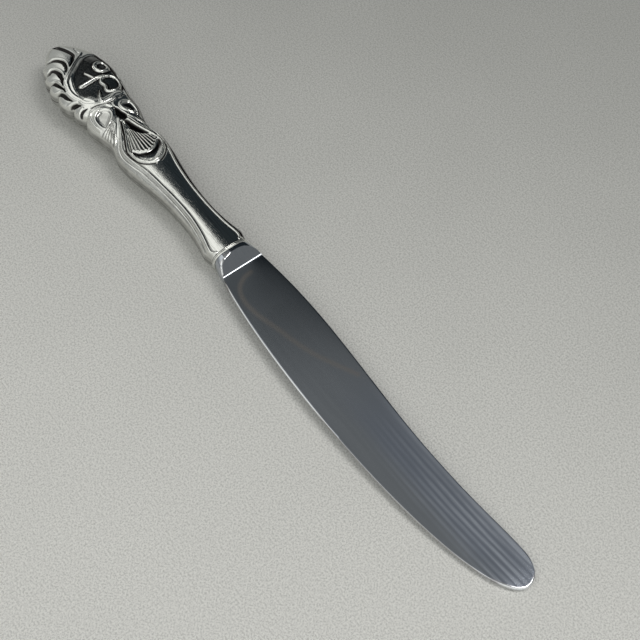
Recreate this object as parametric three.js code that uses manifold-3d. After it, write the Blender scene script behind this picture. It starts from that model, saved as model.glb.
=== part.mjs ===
// A fruit knife: a stainless blade, forged in one piece with its bolster and tang, is cemented into a hollow
// silver handle made of two stamped half shells and a mouth cap.
// Sizes are millimetres. In the knife's own axes x runs from the head of the handle to the tip of the blade,
// with x = 0 at the handle's mouth, y runs from the cutting edge to the back of the blade, and z = 0 is the
// seam between the two half shells.

import * as THREE from 'three';
import { mergeVertices } from 'three/addons/utils/BufferGeometryUtils.js';
import Module from 'manifold-3d';

const wasm = await Module();
wasm.setup();

// Lengths along the handle, each measured on from the one before, starting at the mouth
const lipLength = 2.6;
const flareLength = 10;
const gripLength = 22.4;
const stepLength = 4.6;
const neckLength = 6.9;
const headLength = 12.5;
const noseLength = 15.1;

// Half widths of the handle's outline where those lengths meet
const mouthHalfWidth = 4.65;
const lipHalfWidth = 5.15;
const waistHalfWidth = 3.95;
const shoulderHalfWidth = 6.2;
const notchHalfWidth = 5.25;
const neckHalfWidth = 6.6;
const headHalfWidth = 8.25;
const nosePower = 1.25;

// Half depths of the handle, and how square its sections are
const mouthHalfDepth = 3.4;
const waistHalfDepth = 3.3;
const shoulderHalfDepth = 4.1;
const headHalfDepth = 4.5;
const crownPower = 2.6;

// The hollow and what fills it
const shellWall = 0.6;
const deepestCarving = 0.5;
const solderGap = 0.1;
const fillerClearance = 0.3;
const capThickness = 0.7;
const capGap = 0.1;
const capProud = 0.15;

// Relief stamped into both shells
const gadroonCount = 7;
const gadroonPitch = 4.4;
const gadroonDepth = 0.5;
const gadroonRoundness = 0.7;
const threadInset = 1.25;
const threadHeight = 0.3;
const threadHalfWidth = 0.4;
const fieldSetback = 57.2;
const fieldRadius = 7.2;
const fieldOffset = 1.8;
const fieldSink = 0.3;
const fieldRimHeight = 0.5;
const fieldRimStart = 0.85;
const fieldRimBlend = 0.6;
const dropSetback = 46.2;
const dropOffset = 2.9;
const dropLength = 3.4;
const dropSplay = 1.4;
const dropRadius = 1.9;
const dropHeight = 0.4;
const fanSetback = 32.8;
const fanLength = 10.5;
const fanRadius = 4;
const fanRimHeight = 0.4;
const fanBowlDepth = 0.4;
const reliefBlur = 0.55;

// The bolster and the tang behind it
const bolsterLength = 5;
const bolsterHalfWidth = 4.45;
const bolsterSwellShare = 0.7;
const bolsterHalfDepth = 3.3;
const bolsterPower = 3;
const facetLength = 3.35;
const tangLength = 45;
const tangHalfWidth = 1.7;
const tangHalfDepth = 1;
const tangEndScale = 0.6;
const tangPower = 6;
const tangClearance = 0.3;

// The blade, measured from the ridge in front of the bolster
const bladeLength = 91.2;
const rootHalfWidth = 5.2;
const rootHalfThickness = 1.1;
const tipHalfThickness = 0.5;
const edgeHalfThickness = 0.2;
const spineRounding = 0.3;
const spineChamfer = 0.7;
const grindWidth = 6;
const grindShare = 0.9;
const grindSwell = 0.09;
const heelBlend = 2.5;
const heelPower = 0.8;
const rootStub = 0.8;
const spineCrestAt = 17;
const spineCrest = 6.05;
const spineDipAt = 59;
const spineDip = 4.15;
const spineTipAt = 86;
const spineTip = 5.25;
const bellyAt = 42;
const bellyDrop = 8.65;
const bellyPower = 2.15;
const tipRise = 1.3;

// The knife lies on its side and balances this far behind the mouth
const balanceSetback = 10;

// How finely the curved surfaces are cut into facets
const gripRibs = 22;
const headRibs = 26;
const noseRibs = 24;
const crownRows = 7;
const edgeShares = [0, 0.04, 0.2, 0.55];
const plainShares = [0, 0.06, 0.25, 0.55, 1];
const hollowRibs = 8;
const ringPoints = 28;
const curvePoints = 26;
const tipPoints = 8;

const ease = (u) => u * u * (3 - 2 * u);
const clamp01 = (u) => Math.min(1, Math.max(0, u));
const mix = (a, b, u) => a + (b - a) * u;
const bump = (distance, halfWidth) => Math.exp(-((distance / halfWidth) ** 2));
const steps = (count) => Array.from({ length: count + 1 }, (_, i) => i / count);

// Solids from points and triangles

function solidFromGeometry(geometry) {
  geometry.deleteAttribute('normal');
  geometry.deleteAttribute('uv');
  const merged = mergeVertices(geometry, 1e-4);
  const index = merged.getIndex().array;
  const triVerts = [];
  for (let i = 0; i < index.length; i += 3) {
    const [a, b, c] = index.slice(i, i + 3);
    if (a !== b && b !== c && c !== a) triVerts.push(a, b, c);
  }
  const vertProperties = Float32Array.from(merged.getAttribute('position').array);
  const mesh = new wasm.Mesh({ numProp: 3, vertProperties, triVerts: Uint32Array.from(triVerts) });
  return new wasm.Manifold(mesh);
}

function solidFromTriangles(triangles) {
  const geometry = new THREE.BufferGeometry().setFromPoints(triangles.flat());
  geometry.setIndex(triangles.flat().map((_, i) => i));
  return solidFromGeometry(geometry);
}

function geometryFromSolid(solid) {
  const mesh = solid.getMesh();
  const geometry = new THREE.BufferGeometry();
  geometry.setAttribute('position', new THREE.BufferAttribute(mesh.vertProperties, 3));
  geometry.setIndex(new THREE.BufferAttribute(mesh.triVerts, 1));
  geometry.computeVertexNormals();
  return geometry;
}

const at = (x, y, z) => new THREE.Vector3(x, y, z);
const flipped = (p) => at(p.x, p.y, -p.z);
const quad = (a, b, c, d) => [[a, b, d], [b, c, d]];
const turned = (triangles) => triangles.map(([a, b, c]) => [a, c, b]);

// The skin over a row of ribs, each a list of points from the back edge of the handle to the front edge
function skin(ribs) {
  const triangles = [];
  for (let j = 0; j + 1 < ribs.length; j += 1) {
    for (let k = 0; k + 1 < ribs[j].length; k += 1) {
      triangles.push(...quad(ribs[j][k], ribs[j + 1][k], ribs[j + 1][k + 1], ribs[j][k + 1]));
    }
  }
  return triangles;
}

// The upright end face under a rib, down to the matching points of a lower rib
function endFace(rib, lower) {
  return rib.slice(1).flatMap((point, k) => quad(rib[k], point, lower[k + 1], lower[k]));
}

// A flat face with its outline in order, facing up or down
function flatFace(outline, facing) {
  const flat = outline.map((p) => new THREE.Vector2(p.x, p.y));
  return THREE.ShapeUtils.triangulateShape(flat, []).map((corners) => {
    const [a, b, c] = corners.map((i) => outline[i]);
    const area = (b.x - a.x) * (c.y - a.y) - (c.x - a.x) * (b.y - a.y);
    return area * facing > 0 ? [a, b, c] : [a, c, b];
  });
}

// A half of the handle: the skin outside, the flat seam face and the mouth; the back half is its mirror image
function halfSolid(ribs, facing) {
  const floor = ribs[0].map((p) => at(p.x, p.y, ribs[0][0].z));
  const backEdge = ribs.map((rib) => rib[0]);
  const frontEdge = ribs.map((rib) => rib[rib.length - 1]).reverse();
  const outline = [...backEdge, ...frontEdge.slice(1), ...floor.slice(1, -1).reverse()];
  const triangles = [...skin(ribs), ...endFace(ribs[0], floor), ...flatFace(outline, -1)];
  const mirrored = turned(triangles.map((corners) => corners.map(flipped)));
  return solidFromTriangles(facing > 0 ? triangles : mirrored);
}

// A whole body with the same skin above and below the seam
function wholeSolid(ribs) {
  const under = ribs.map((rib) => rib.map(flipped));
  return solidFromTriangles([...skin(ribs), ...turned(skin(under)), ...endFace(ribs[0], under[0])]);
}

// A body through rounded sections, from front to back, each with its place, half width and half depth
function sectionedSolid(sections, power) {
  const rings = sections.map(({ x, width, depth }) => steps(ringPoints).map((u) => {
    const y = width * Math.sign(0.5 - u) * Math.abs(Math.cos(Math.PI * u)) ** (2 / power);
    const z = depth * Math.abs(Math.sin(Math.PI * u)) ** (2 / power);
    return at(x, y, z);
  }));
  const last = rings[rings.length - 1];
  const under = rings.map((ring) => ring.map(flipped));
  return solidFromTriangles([
    ...skin(rings), ...turned(skin(under)),
    ...endFace(rings[0], under[0]), ...turned(endFace(last, under[under.length - 1])),
  ]);
}

// The handle's outline and depth

const waistSetback = lipLength + flareLength;
const shoulderSetback = waistSetback + gripLength;
const notchSetback = shoulderSetback + stepLength;
const neckSetback = notchSetback + neckLength;
const headSetback = neckSetback + headLength;
const handleLength = headSetback + noseLength;

// Each bend of the outline, and how early the outline swings over to it from the bend before
const bends = [
  { setback: 0, width: mouthHalfWidth, depth: mouthHalfDepth, swing: 1 },
  { setback: lipLength, width: lipHalfWidth, depth: mouthHalfDepth, swing: 1 },
  { setback: waistSetback, width: waistHalfWidth, depth: waistHalfDepth, swing: 0.6 },
  { setback: shoulderSetback, width: shoulderHalfWidth, depth: shoulderHalfDepth, swing: 1.25 },
  { setback: notchSetback, width: notchHalfWidth, depth: shoulderHalfDepth, swing: 1 },
  { setback: neckSetback, width: neckHalfWidth, depth: headHalfDepth, swing: 1 },
  { setback: headSetback, width: headHalfWidth, depth: headHalfDepth, swing: 1 },
];

function sectionAt(setback) {
  const next = Math.max(1, bends.findIndex((bend) => bend.setback >= setback - 1e-9));
  const [from, to] = [bends[next - 1], bends[next]];
  const u = ease(((setback - from.setback) / (to.setback - from.setback)) ** to.swing);
  return { width: mix(from.width, to.width, u), depth: mix(from.depth, to.depth, u) };
}

// Ribs stand square to the axis along the grip and fan out from the middle of the head round its nose.
// Each has its foot on the axis, its edge on the outline and its travel along the outline from the nose.
function ribLines(gripCount, headCount, noseCount) {
  const lines = [];
  const side = (from, to, count) => steps(count).slice(from === 0 ? 0 : 1).forEach((u) => {
    const setback = mix(from, to, u);
    const { width, depth } = sectionAt(setback);
    lines.push({ foot: -setback, edge: new THREE.Vector2(-setback, width), depth });
  });
  side(0, shoulderSetback, gripCount);
  side(shoulderSetback, headSetback, headCount);
  steps(noseCount).slice(1).forEach((u) => {
    const [c, s] = [Math.cos(u * Math.PI / 2), Math.sin(u * Math.PI / 2)];
    const width = u === 1 ? 0 : headHalfWidth * c ** nosePower;
    const edge = new THREE.Vector2(-headSetback - noseLength * s, width);
    lines.push({ foot: -headSetback, edge, depth: headHalfDepth });
  });
  let travel = 0;
  lines.reverse().forEach((line, i) => {
    if (i > 0) travel += line.edge.distanceTo(lines[i - 1].edge);
    line.travel = travel;
    line.reach = Math.hypot(line.edge.x - line.foot, line.edge.y);
  });
  return lines.reverse();
}

const crown = (inset, reach) => (1 - (1 - clamp01(inset / reach)) ** crownPower) ** (1 / crownPower);

// The relief

// How deep the valleys between the gadroons are at a place along the outline: 0 on a crest, 1 in a valley
function gadroonValley(travel) {
  const lobe = travel / gadroonPitch + 0.5;
  if (lobe <= 0 || lobe >= gadroonCount) return 0;
  return 1 - Math.abs(Math.sin(Math.PI * lobe)) ** gadroonRoundness;
}

// The signed distance to a drop: a round end of one radius that runs out to a point
function dropDistance(x, y, round, point, radius) {
  const axis = new THREE.Vector2().subVectors(point, round);
  const length = axis.length();
  axis.divideScalar(length);
  const along = (x - round.x) * axis.x + (y - round.y) * axis.y;
  const across = Math.abs((x - round.x) * axis.y - (y - round.y) * axis.x);
  const sine = Math.min(0.99, radius / length);
  const cosine = Math.sqrt(1 - sine * sine);
  const slide = along * cosine - across * sine;
  if (slide < 0) return Math.hypot(along, across) - radius;
  if (slide > length * cosine) return Math.hypot(along - length, across);
  return along * sine + across * cosine - radius;
}

const fanCentre = new THREE.Vector2(-fanSetback, 0);
const fanPoint = new THREE.Vector2(-fanSetback - fanLength, 0);
const drops = [-1, 1].map((side) => ({
  round: new THREE.Vector2(-dropSetback, side * dropOffset),
  point: new THREE.Vector2(-dropSetback + dropLength, side * (dropOffset + dropSplay)),
}));

// The inset of the raised border line: a thread along the grip, the rim of the round field on the head
function borderInset(line, side) {
  const [dx, dy] = [(line.edge.x - line.foot) / line.reach, side * line.edge.y / line.reach];
  const gap = -fieldSetback - line.foot;
  const onward = dy * fieldOffset;
  const square = onward ** 2 + fieldRadius ** 2 - gap ** 2 - fieldOffset ** 2;
  const rim = line.reach - onward - dx * gap - Math.sqrt(Math.max(0, square));
  const fade = ease(clamp01((fieldRimStart * fieldRadius + gap) / (fieldRimBlend * fieldRadius)));
  return mix(threadInset, Math.max(threadInset, rim), fade);
}

function relief(x, y, inset, border, travel) {
  const fieldEdge = Math.hypot(x + fieldSetback, y - fieldOffset) - fieldRadius;
  const onHead = clamp01((-x - notchSetback) / (headSetback - notchSetback));
  const outside = clamp01(fieldEdge / reliefBlur - 1) * clamp01(inset / threadInset);
  let height = mix(threadHeight, fieldRimHeight, onHead) * bump(inset - border, threadHalfWidth);
  height -= fieldSink * clamp01(-fieldEdge / reliefBlur - 1);
  height -= gadroonDepth * gadroonValley(travel) * outside;
  drops.forEach(({ round, point }) => {
    const edge = dropDistance(x, y, round, point, dropRadius);
    height += dropHeight * clamp01(0.5 - edge / reliefBlur);
  });
  const fan = dropDistance(x, y, fanCentre, fanPoint, fanRadius);
  const bowl = fanRadius - Math.hypot(x - fanCentre.x, y - fanCentre.y);
  height += fanRimHeight * bump(fan, reliefBlur);
  height -= fanBowlDepth * clamp01(-fan / reliefBlur - 1) * clamp01(bowl / fanRadius + 0.5);
  return height * clamp01(inset / threadInset * 2);
}

// The points of one rib, from the back edge over the crown to the front edge
function ribPoints(line, insetsFor, heightAt, shrink, rise) {
  const half = (side) => {
    const travel = -side * line.travel;
    const valley = shrink ? 0 : gadroonDepth * gadroonValley(travel);
    const lost = shrink + valley;
    const border = borderInset(line, side);
    return insetsFor(line.reach - lost, border - valley).map((inset) => {
      const out = (line.reach - lost - inset) / line.reach;
      const x = mix(line.foot, line.edge.x, out);
      const y = side * line.edge.y * out;
      const height = (line.depth - shrink) * crown(inset, line.reach - lost);
      const carved = inset > 0 ? heightAt(x, y, inset, border - valley, travel) : 0;
      return at(x, y, rise + height + carved);
    });
  };
  const [back, front] = [half(1), half(-1)];
  return [...back, ...front.slice(0, -1).reverse()];
}

// Rows close together at the edge and at the border line, then even steps to the foot of the rib
function carvedRows(reach, border) {
  const outer = edgeShares.map((share) => share * (border - threadHalfWidth));
  const line = [border - threadHalfWidth, border, border + threadHalfWidth];
  const inner = steps(crownRows).slice(1).map((u) => mix(border + threadHalfWidth, reach, u));
  return [...outer, ...line, ...inner];
}

const plainRows = (reach) => plainShares.map((share) => share * reach);
const carvedLines = ribLines(gripRibs, headRibs, noseRibs);
const plainLines = ribLines(hollowRibs, hollowRibs, hollowRibs);
const uncarved = () => 0;
const hollowShrink = shellWall + deepestCarving;

// The half shells

const hollowRibPoints = plainLines.map((line) => ribPoints(line, plainRows, uncarved, hollowShrink, 0));
const throughMouth = hollowRibPoints[0].map((p) => at(p.x + bolsterLength, p.y, p.z));
const hollow = wholeSolid([throughMouth, ...hollowRibPoints]);
const carvedRibs = carvedLines.map((line) => ribPoints(line, carvedRows, relief, 0, solderGap / 2));
const [frontShell, backShell] = [1, -1].map((facing) => halfSolid(carvedRibs, facing).subtract(hollow));

// The mouth cap, a plate with a slot for the tang

const tangSections = (spare) => [
  { x: bolsterLength / 2, scale: 1 },
  { x: -tangLength / 4, scale: 1 },
  { x: -tangLength - spare, scale: tangEndScale },
].map(({ x, scale }) => ({
  x, width: tangHalfWidth * scale + spare, depth: tangHalfDepth * scale + spare,
}));

const capFront = capGap + capThickness;
const tangHole = sectionedSolid(tangSections(tangClearance), tangPower);
const mouthCap = sectionedSolid([capFront, capGap].map((x) => ({
  x, width: mouthHalfWidth + capProud, depth: mouthHalfDepth + capProud,
})), crownPower).subtract(tangHole);

// The cement inside, a little clear of the shells, the cap and the tang

const fillerShrink = hollowShrink + fillerClearance;
const fillerFront = fillerClearance - capGap;
const fillerRibs = plainLines.map((line) => ribPoints(line, plainRows, uncarved, fillerShrink, 0));
fillerRibs[0] = fillerRibs[0].map((p) => at(p.x - fillerFront, p.y, p.z));
const filler = wholeSolid(fillerRibs).subtract(tangHole);

// The bolster: a rounded block, ground to a sloping facet above and below that meets the blade in a ridge

const ridge = bolsterLength;
const bolsterBack = capFront + capGap;
const bolsterMiddle = {
  x: mix(bolsterBack, ridge, 0.5), width: mix(bolsterHalfWidth, rootHalfWidth, bolsterSwellShare),
};
const bolsterBlock = sectionedSolid(
  [
    { x: ridge, width: rootHalfWidth, depth: bolsterHalfDepth },
    { ...bolsterMiddle, depth: bolsterHalfDepth },
    { x: bolsterBack, width: bolsterHalfWidth, depth: bolsterHalfDepth },
  ],
  bolsterPower,
);
const facetSlope = (bolsterHalfDepth - rootHalfThickness) / facetLength;
const wedgeHeight = 2 * bolsterHalfDepth;
const wedgeBack = ridge - (wedgeHeight - rootHalfThickness) / facetSlope;
const wedgeShape = new THREE.Shape([
  new THREE.Vector2(Math.min(wedgeBack, 0) - 1, wedgeHeight), new THREE.Vector2(wedgeBack, wedgeHeight),
  new THREE.Vector2(ridge, rootHalfThickness), new THREE.Vector2(ridge, -rootHalfThickness),
  new THREE.Vector2(wedgeBack, -wedgeHeight), new THREE.Vector2(Math.min(wedgeBack, 0) - 1, -wedgeHeight),
]);
const wedgeWidth = 4 * rootHalfWidth;
const wedge = new THREE.ExtrudeGeometry(wedgeShape, { depth: wedgeWidth, bevelEnabled: false });
wedge.rotateX(Math.PI / 2).translate(0, wedgeWidth / 2, 0);
const bolster = bolsterBlock.intersect(solidFromGeometry(wedge));

// The blade: its outline runs along the spine, round the tip and back along the cutting edge

const tipX = ridge + bladeLength;
const spineBends = [
  { x: ridge, y: rootHalfWidth, swing: 1 },
  { x: ridge + spineCrestAt, y: spineCrest, swing: 0.6 },
  { x: ridge + spineDipAt, y: spineDip, swing: 1 },
  { x: ridge + spineTipAt, y: spineTip, swing: 1.4 },
];

function spineAt(x) {
  const next = Math.max(1, spineBends.findIndex((bend) => bend.x >= x - 1e-9));
  const [from, to] = [spineBends[next - 1], spineBends[next]];
  return mix(from.y, to.y, ease(((x - from.x) / (to.x - from.x)) ** to.swing));
}

// Each outline point carries how far it belongs to the cutting edge: 0 on the spine, 1 on the edge
function bladeOutline() {
  const spine = steps(curvePoints).map((u) => {
    const x = mix(ridge, ridge + spineTipAt, u);
    return { x, y: spineAt(x), edge: 0 };
  });
  const nose = steps(tipPoints).slice(1).map((u) => ({
    x: ridge + spineTipAt + (bladeLength - spineTipAt) * Math.sin(u * Math.PI / 2),
    y: tipRise + (spineTip - tipRise) * Math.cos(u * Math.PI / 2),
    edge: ease(u),
  }));
  const belly = steps(curvePoints).slice(1).map((u) => {
    const [c, s] = [Math.cos(u * Math.PI / 2), Math.sin(u * Math.PI / 2)];
    const x = ridge + bellyAt + (bladeLength - bellyAt) * Math.abs(c) ** (2 / bellyPower);
    return { x, y: tipRise - (bellyDrop + tipRise) * s ** (2 / bellyPower), edge: 1 };
  });
  const heel = steps(curvePoints / 2).slice(1).map((u) => {
    const rise = Math.sin((1 - u) ** heelPower * Math.PI / 2);
    return { x: mix(ridge + bellyAt, ridge, u), y: -mix(rootHalfWidth, bellyDrop, rise), edge: 1 };
  });
  return [...spine, ...nose, ...belly, ...heel];
}

const faceHeight = (x) => mix(rootHalfThickness, tipHalfThickness, (x - ridge) / bladeLength);

// The outline, a row half way up the grind and the line where the grind meets the flat of the blade
function bladeRows() {
  const rows = [[], [], []];
  bladeOutline().forEach(({ x, y, edge }) => {
    const foot = new THREE.Vector2(Math.min(x, tipX - grindWidth), mix(y, tipRise, grindShare));
    const run = Math.hypot(foot.x - x, foot.y - y);
    const inset = Math.min(mix(spineChamfer, grindWidth, edge), grindShare * run);
    const [dx, dy] = [(foot.x - x) / run, (foot.y - y) / run];
    const heel = (rootHalfThickness - edgeHalfThickness) * Math.exp((ridge - x) / heelBlend);
    const rim = mix(faceHeight(x) - spineRounding, edgeHalfThickness + heel, edge);
    [0, 0.5, 1].forEach((share, row) => {
      const px = x + dx * inset * share;
      const swell = grindSwell * edge * (row === 1 ? 1 : 0);
      rows[row].push(at(px, y + dy * inset * share, mix(rim, faceHeight(px), share) + swell));
    });
  });
  const rootX = mix(bolsterBack, ridge, 0.5);
  rows.forEach((row) => {
    row.unshift(at(rootX, rootStub * rootHalfWidth, faceHeight(rootX)));
    row.push(at(rootX, -rootStub * rootHalfWidth, faceHeight(rootX)));
  });
  return rows;
}

function bladePlate() {
  const rows = bladeRows();
  const closed = rows.map((row) => [...row, row[0]]);
  const under = closed.map((row) => row.map(flipped));
  const flat = rows[rows.length - 1];
  return solidFromTriangles([
    ...skin(closed), ...turned(skin(under)), ...endFace(closed[0], under[0]),
    ...flatFace(flat, 1), ...flatFace(flat.map(flipped), -1),
  ]);
}

const tang = sectionedSolid(tangSections(0), tangPower);
const blade = bladePlate().add(bolster).add(tang);

// The finished pieces

const silver = { color: 0xc8c8c4, roughness: 0.16, metalness: 1 };
const stainless = { color: 0x8d9196, roughness: 0.28, metalness: 1 };
const cement = { color: 0x6a5d50, roughness: 0.9, metalness: 0 };

function piece(name, solid, finish) {
  const mesh = new THREE.Mesh(geometryFromSolid(solid), new THREE.MeshStandardMaterial(finish));
  mesh.name = name;
  return mesh;
}

const knife = new THREE.Group();
knife.add(
  piece('handle_front_shell', frontShell, silver),
  piece('handle_back_shell', backShell, silver),
  piece('mouth_cap', mouthCap, silver),
  piece('cement_filler', filler, cement),
  piece('blade', blade, stainless),
);

// On a table the knife tips until two places on its underside touch, one on each side of its balance point.
// The lower outline, seen from the side, is walked from head to tip and kept convex.
function lyingTilt(group, balance) {
  const points = group.children.flatMap((mesh) => {
    const place = mesh.geometry.getAttribute('position');
    return Array.from({ length: place.count }, (_, i) => new THREE.Vector2(place.getX(i), place.getZ(i)));
  });
  points.sort((a, b) => a.x - b.x || a.y - b.y);
  const lower = [];
  points.forEach((p) => {
    while (lower.length > 1) {
      const [a, b] = lower.slice(-2);
      if ((b.x - a.x) * (p.y - a.y) - (b.y - a.y) * (p.x - a.x) > 0) break;
      lower.pop();
    }
    lower.push(p);
  });
  const front = lower.findIndex((p) => p.x > balance);
  const [head, mouth] = [lower[front - 1], lower[front]];
  return Math.atan2(mouth.y - head.y, mouth.x - head.x);
}

knife.rotation.y = lyingTilt(knife, -balanceSetback);
knife.updateMatrixWorld(true);
const box = new THREE.Box3().setFromObject(knife, true);
const middle = box.getCenter(new THREE.Vector3());
knife.position.set(-middle.x, -middle.y, -box.min.z);

const part = new THREE.Group();
part.add(knife);
export default part;
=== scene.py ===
# %% [markdown]
# # A fruit knife with a carved hollow handle
# The CAD model gives the knife's exact size and place. This lesson loads it as a fixed frame and dresses
# it: two finely carved silver half shells, a beaded silver band at the mouth and a polished steel blade.

# %% Load the frame
import math
import bmesh
import bpy
import numpy as np
from mathutils import Matrix, Vector


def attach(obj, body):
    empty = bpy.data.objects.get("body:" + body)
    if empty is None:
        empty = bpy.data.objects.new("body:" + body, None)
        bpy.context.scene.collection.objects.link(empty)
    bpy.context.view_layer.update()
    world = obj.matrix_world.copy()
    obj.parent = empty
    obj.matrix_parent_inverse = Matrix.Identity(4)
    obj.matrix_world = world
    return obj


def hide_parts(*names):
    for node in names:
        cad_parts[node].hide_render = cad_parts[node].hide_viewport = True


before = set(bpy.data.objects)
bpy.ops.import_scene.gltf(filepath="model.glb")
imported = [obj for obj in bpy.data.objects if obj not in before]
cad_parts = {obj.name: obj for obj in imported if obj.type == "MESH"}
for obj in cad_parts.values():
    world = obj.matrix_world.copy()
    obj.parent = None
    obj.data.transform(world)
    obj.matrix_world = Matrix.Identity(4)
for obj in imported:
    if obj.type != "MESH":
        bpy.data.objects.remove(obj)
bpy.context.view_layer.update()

bpy.ops.object.select_all(action="DESELECT")


def in_mm(place):
    """A place in metres as rounded millimetres, to print it."""
    return [round(1000 * v, 2) for v in place]


# %% [markdown]
# ## The knife's own axes
# A knife lying on a table is tipped a little, because its thick handle rests on the head and on the
# mouth. It is easier to model it in its own axes, in millimetres: x from the mouth of the handle to the
# tip of the blade, y from the cutting edge to the back and z up from the seam. One matrix then lays each
# finished piece down.

# %% From the knife's axes to the table
TILT = 0.02909032
MOUTH_ON_TABLE = Vector((-11.04751, 0.2, 3.57177))
TIP = Vector((96.2, 1.3, 0))
MILLIMETRE = 0.001
LAY_DOWN = (
    Matrix.Scale(MILLIMETRE, 4) @ Matrix.Translation(MOUTH_ON_TABLE) @ Matrix.Rotation(TILT, 4, "Y")
)


def select_only(piece):
    """Makes a piece the only one that an operator acts on."""
    bpy.ops.object.select_all(action="DESELECT")
    piece.select_set(True)
    bpy.context.view_layer.objects.active = piece


def lay_down(piece):
    """Puts a piece made in the knife's axes on the table, with its place in its mesh."""
    select_only(piece)
    piece.matrix_world = LAY_DOWN
    bpy.ops.object.transform_apply(location=True, rotation=True, scale=True)


print("tip of the blade in mm:", in_mm(LAY_DOWN @ TIP))

# %% [markdown]
# ## The camera
# The photograph looks down at about 58 degrees, from beside the blade. A long lens from near by gives the
# same slight widening of the knife towards the tip, so the camera stands 268 mm from a point beside the
# bolster.

# %% Place the camera
LOOK_AT = Vector((13.020, 6.815, 0)) * MILLIMETRE
STAND_AT = Vector((125.38, -79.90, 227.14)) * MILLIMETRE
HALF_VIEW = math.radians(14.5)
SENSOR_WIDTH, NEAREST_SEEN = 36, 0.01


def facing(place):
    """The turn that points a camera or a lamp at the knife."""
    return (LOOK_AT - place).to_track_quat("-Z", "Y").to_euler()


bpy.ops.object.camera_add(location=STAND_AT)
camera = bpy.context.object
camera.name = "table_camera"
camera.rotation_euler = facing(STAND_AT)
camera.data.sensor_width = SENSOR_WIDTH
camera.data.lens = SENSOR_WIDTH / 2 / math.tan(HALF_VIEW)
camera.data.clip_start = NEAREST_SEEN
bpy.context.scene.camera = camera
bpy.context.scene.view_settings.view_transform = "Standard"
print("lens in mm:", round(camera.data.lens, 2))

# %% [markdown]
# ## Shader maths as plain Python
# A finish is a small network of nodes. Writing it as sums and products is easier to read than placing
# Math nodes one by one, so a value wraps a socket and adds the Math node itself when it meets an
# operator.


# %% A value that adds its own nodes
class Value:
    """A socket that takes part in sums and products."""

    def __init__(self, finish, socket):
        self.finish = finish
        self.socket = socket

    def _maths(self, operation, first, second):
        return self.finish.add("ShaderNodeMath", {"operation": operation}, {0: first, 1: second})

    def __add__(self, other):
        return self._maths("ADD", self, other)

    def __radd__(self, other):
        return self._maths("ADD", other, self)

    def __sub__(self, other):
        return self._maths("SUBTRACT", self, other)

    def __rsub__(self, other):
        return self._maths("SUBTRACT", other, self)

    def __mul__(self, other):
        return self._maths("MULTIPLY", self, other)

    def __rmul__(self, other):
        return self._maths("MULTIPLY", other, self)


print("operators for values ready")

# %% [markdown]
# A finish is a node tree with one way to add any node. The few kinds that come up again and again, such
# as a mix of two colours, a soft step or a noise, get a short name of their own on top of it.


# %% A finish, which is a node tree with its own way to add a node
class Finish:
    COLOUR_A, COLOUR_B, COLOUR_OUT = 6, 7, 2

    def __init__(self, tree):
        self.tree = tree
        self.tree.nodes.clear()

    def add(self, kind, settings, sockets, output=0):
        """Adds a node: its settings first, then a plain value or a link for each socket."""
        node = self.tree.nodes.new(kind)
        for name, setting in settings.items():
            setattr(node, name, setting)
        for name, given in sockets.items():
            if isinstance(given, Value):
                self.tree.links.new(given.socket, node.inputs[name])
            else:
                node.inputs[name].default_value = given
        return Value(self, node.outputs[output]) if node.outputs else None

    def colours(self, share, first, second):
        """A mix of two colours: a share of 0 is the first and 1 is the second."""
        sockets = {"Factor": share, self.COLOUR_A: first, self.COLOUR_B: second}
        return self.add("ShaderNodeMix", {"data_type": "RGBA"}, sockets, self.COLOUR_OUT)

    def between(self, value, low, high):
        """A soft step: 0 below the low end and 1 above the high end."""
        sockets = {"Value": value, "From Min": low, "From Max": high}
        return self.add("ShaderNodeMapRange", {"interpolation_type": "SMOOTHSTEP"}, sockets)

    def part(self, vector, axis):
        """One coordinate of a vector: 0 is x, 1 is y and 2 is z."""
        return self.add("ShaderNodeSeparateXYZ", {}, {0: vector}, axis)

    def place(self, scale=(1, 1, 1)):
        """Object coordinates in millimetres, stretched by a scale along x, y and z."""
        spot = self.add("ShaderNodeTexCoord", {}, {}, "Object")
        return self.add("ShaderNodeMapping", {}, {"Vector": spot, "Scale": [1000 * s for s in scale]})

    def noise(self, scale, detail=2.0, roughness=0.5):
        sockets = {"Vector": self.place(scale), "Scale": 1.0, "Detail": detail, "Roughness": roughness}
        return self.add("ShaderNodeTexNoise", {}, sockets)

    def kept_value(self):
        """The value that a piece keeps at each of its vertices: tarnish, painted shade and painted
        highlight, whichever the piece holds.
        """
        return self.add("ShaderNodeAttribute", {"attribute_name": "tarnish_and_painted_light"}, {}, "Fac")

    def bump(self, height, strength, depth):
        """A normal shaken by a height, with the depth of its marks in millimetres."""
        sockets = {"Strength": strength, "Distance": depth * MILLIMETRE, "Height": height}
        return self.add("ShaderNodeBump", {}, sockets)

    def surface(self, sockets):
        shader = self.add("ShaderNodeBsdfPrincipled", {}, sockets)
        self.add("ShaderNodeOutputMaterial", {}, {"Surface": shader})


def new_finish(name):
    material = bpy.data.materials.new(name)
    material.use_nodes = True
    return material, Finish(material.node_tree)


def dress(piece, material):
    """Gives a piece one finish in place of any that it has."""
    piece.data.materials.clear()
    piece.data.materials.append(material)


print("shader helpers ready")

# %% [markdown]
# ## The room
# Polished metal shows the room more than its own colour. A bright window wall on the left gives the
# handle its white flank, a dark far side gives it its dark top, and the lighter near side and a strip of
# the far wall draw highlights on the head and the bolster. A world whose brightness depends on the
# direction does this without any extra objects. Everything is told by two directions on the table, to the
# right and away from the camera.

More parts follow.
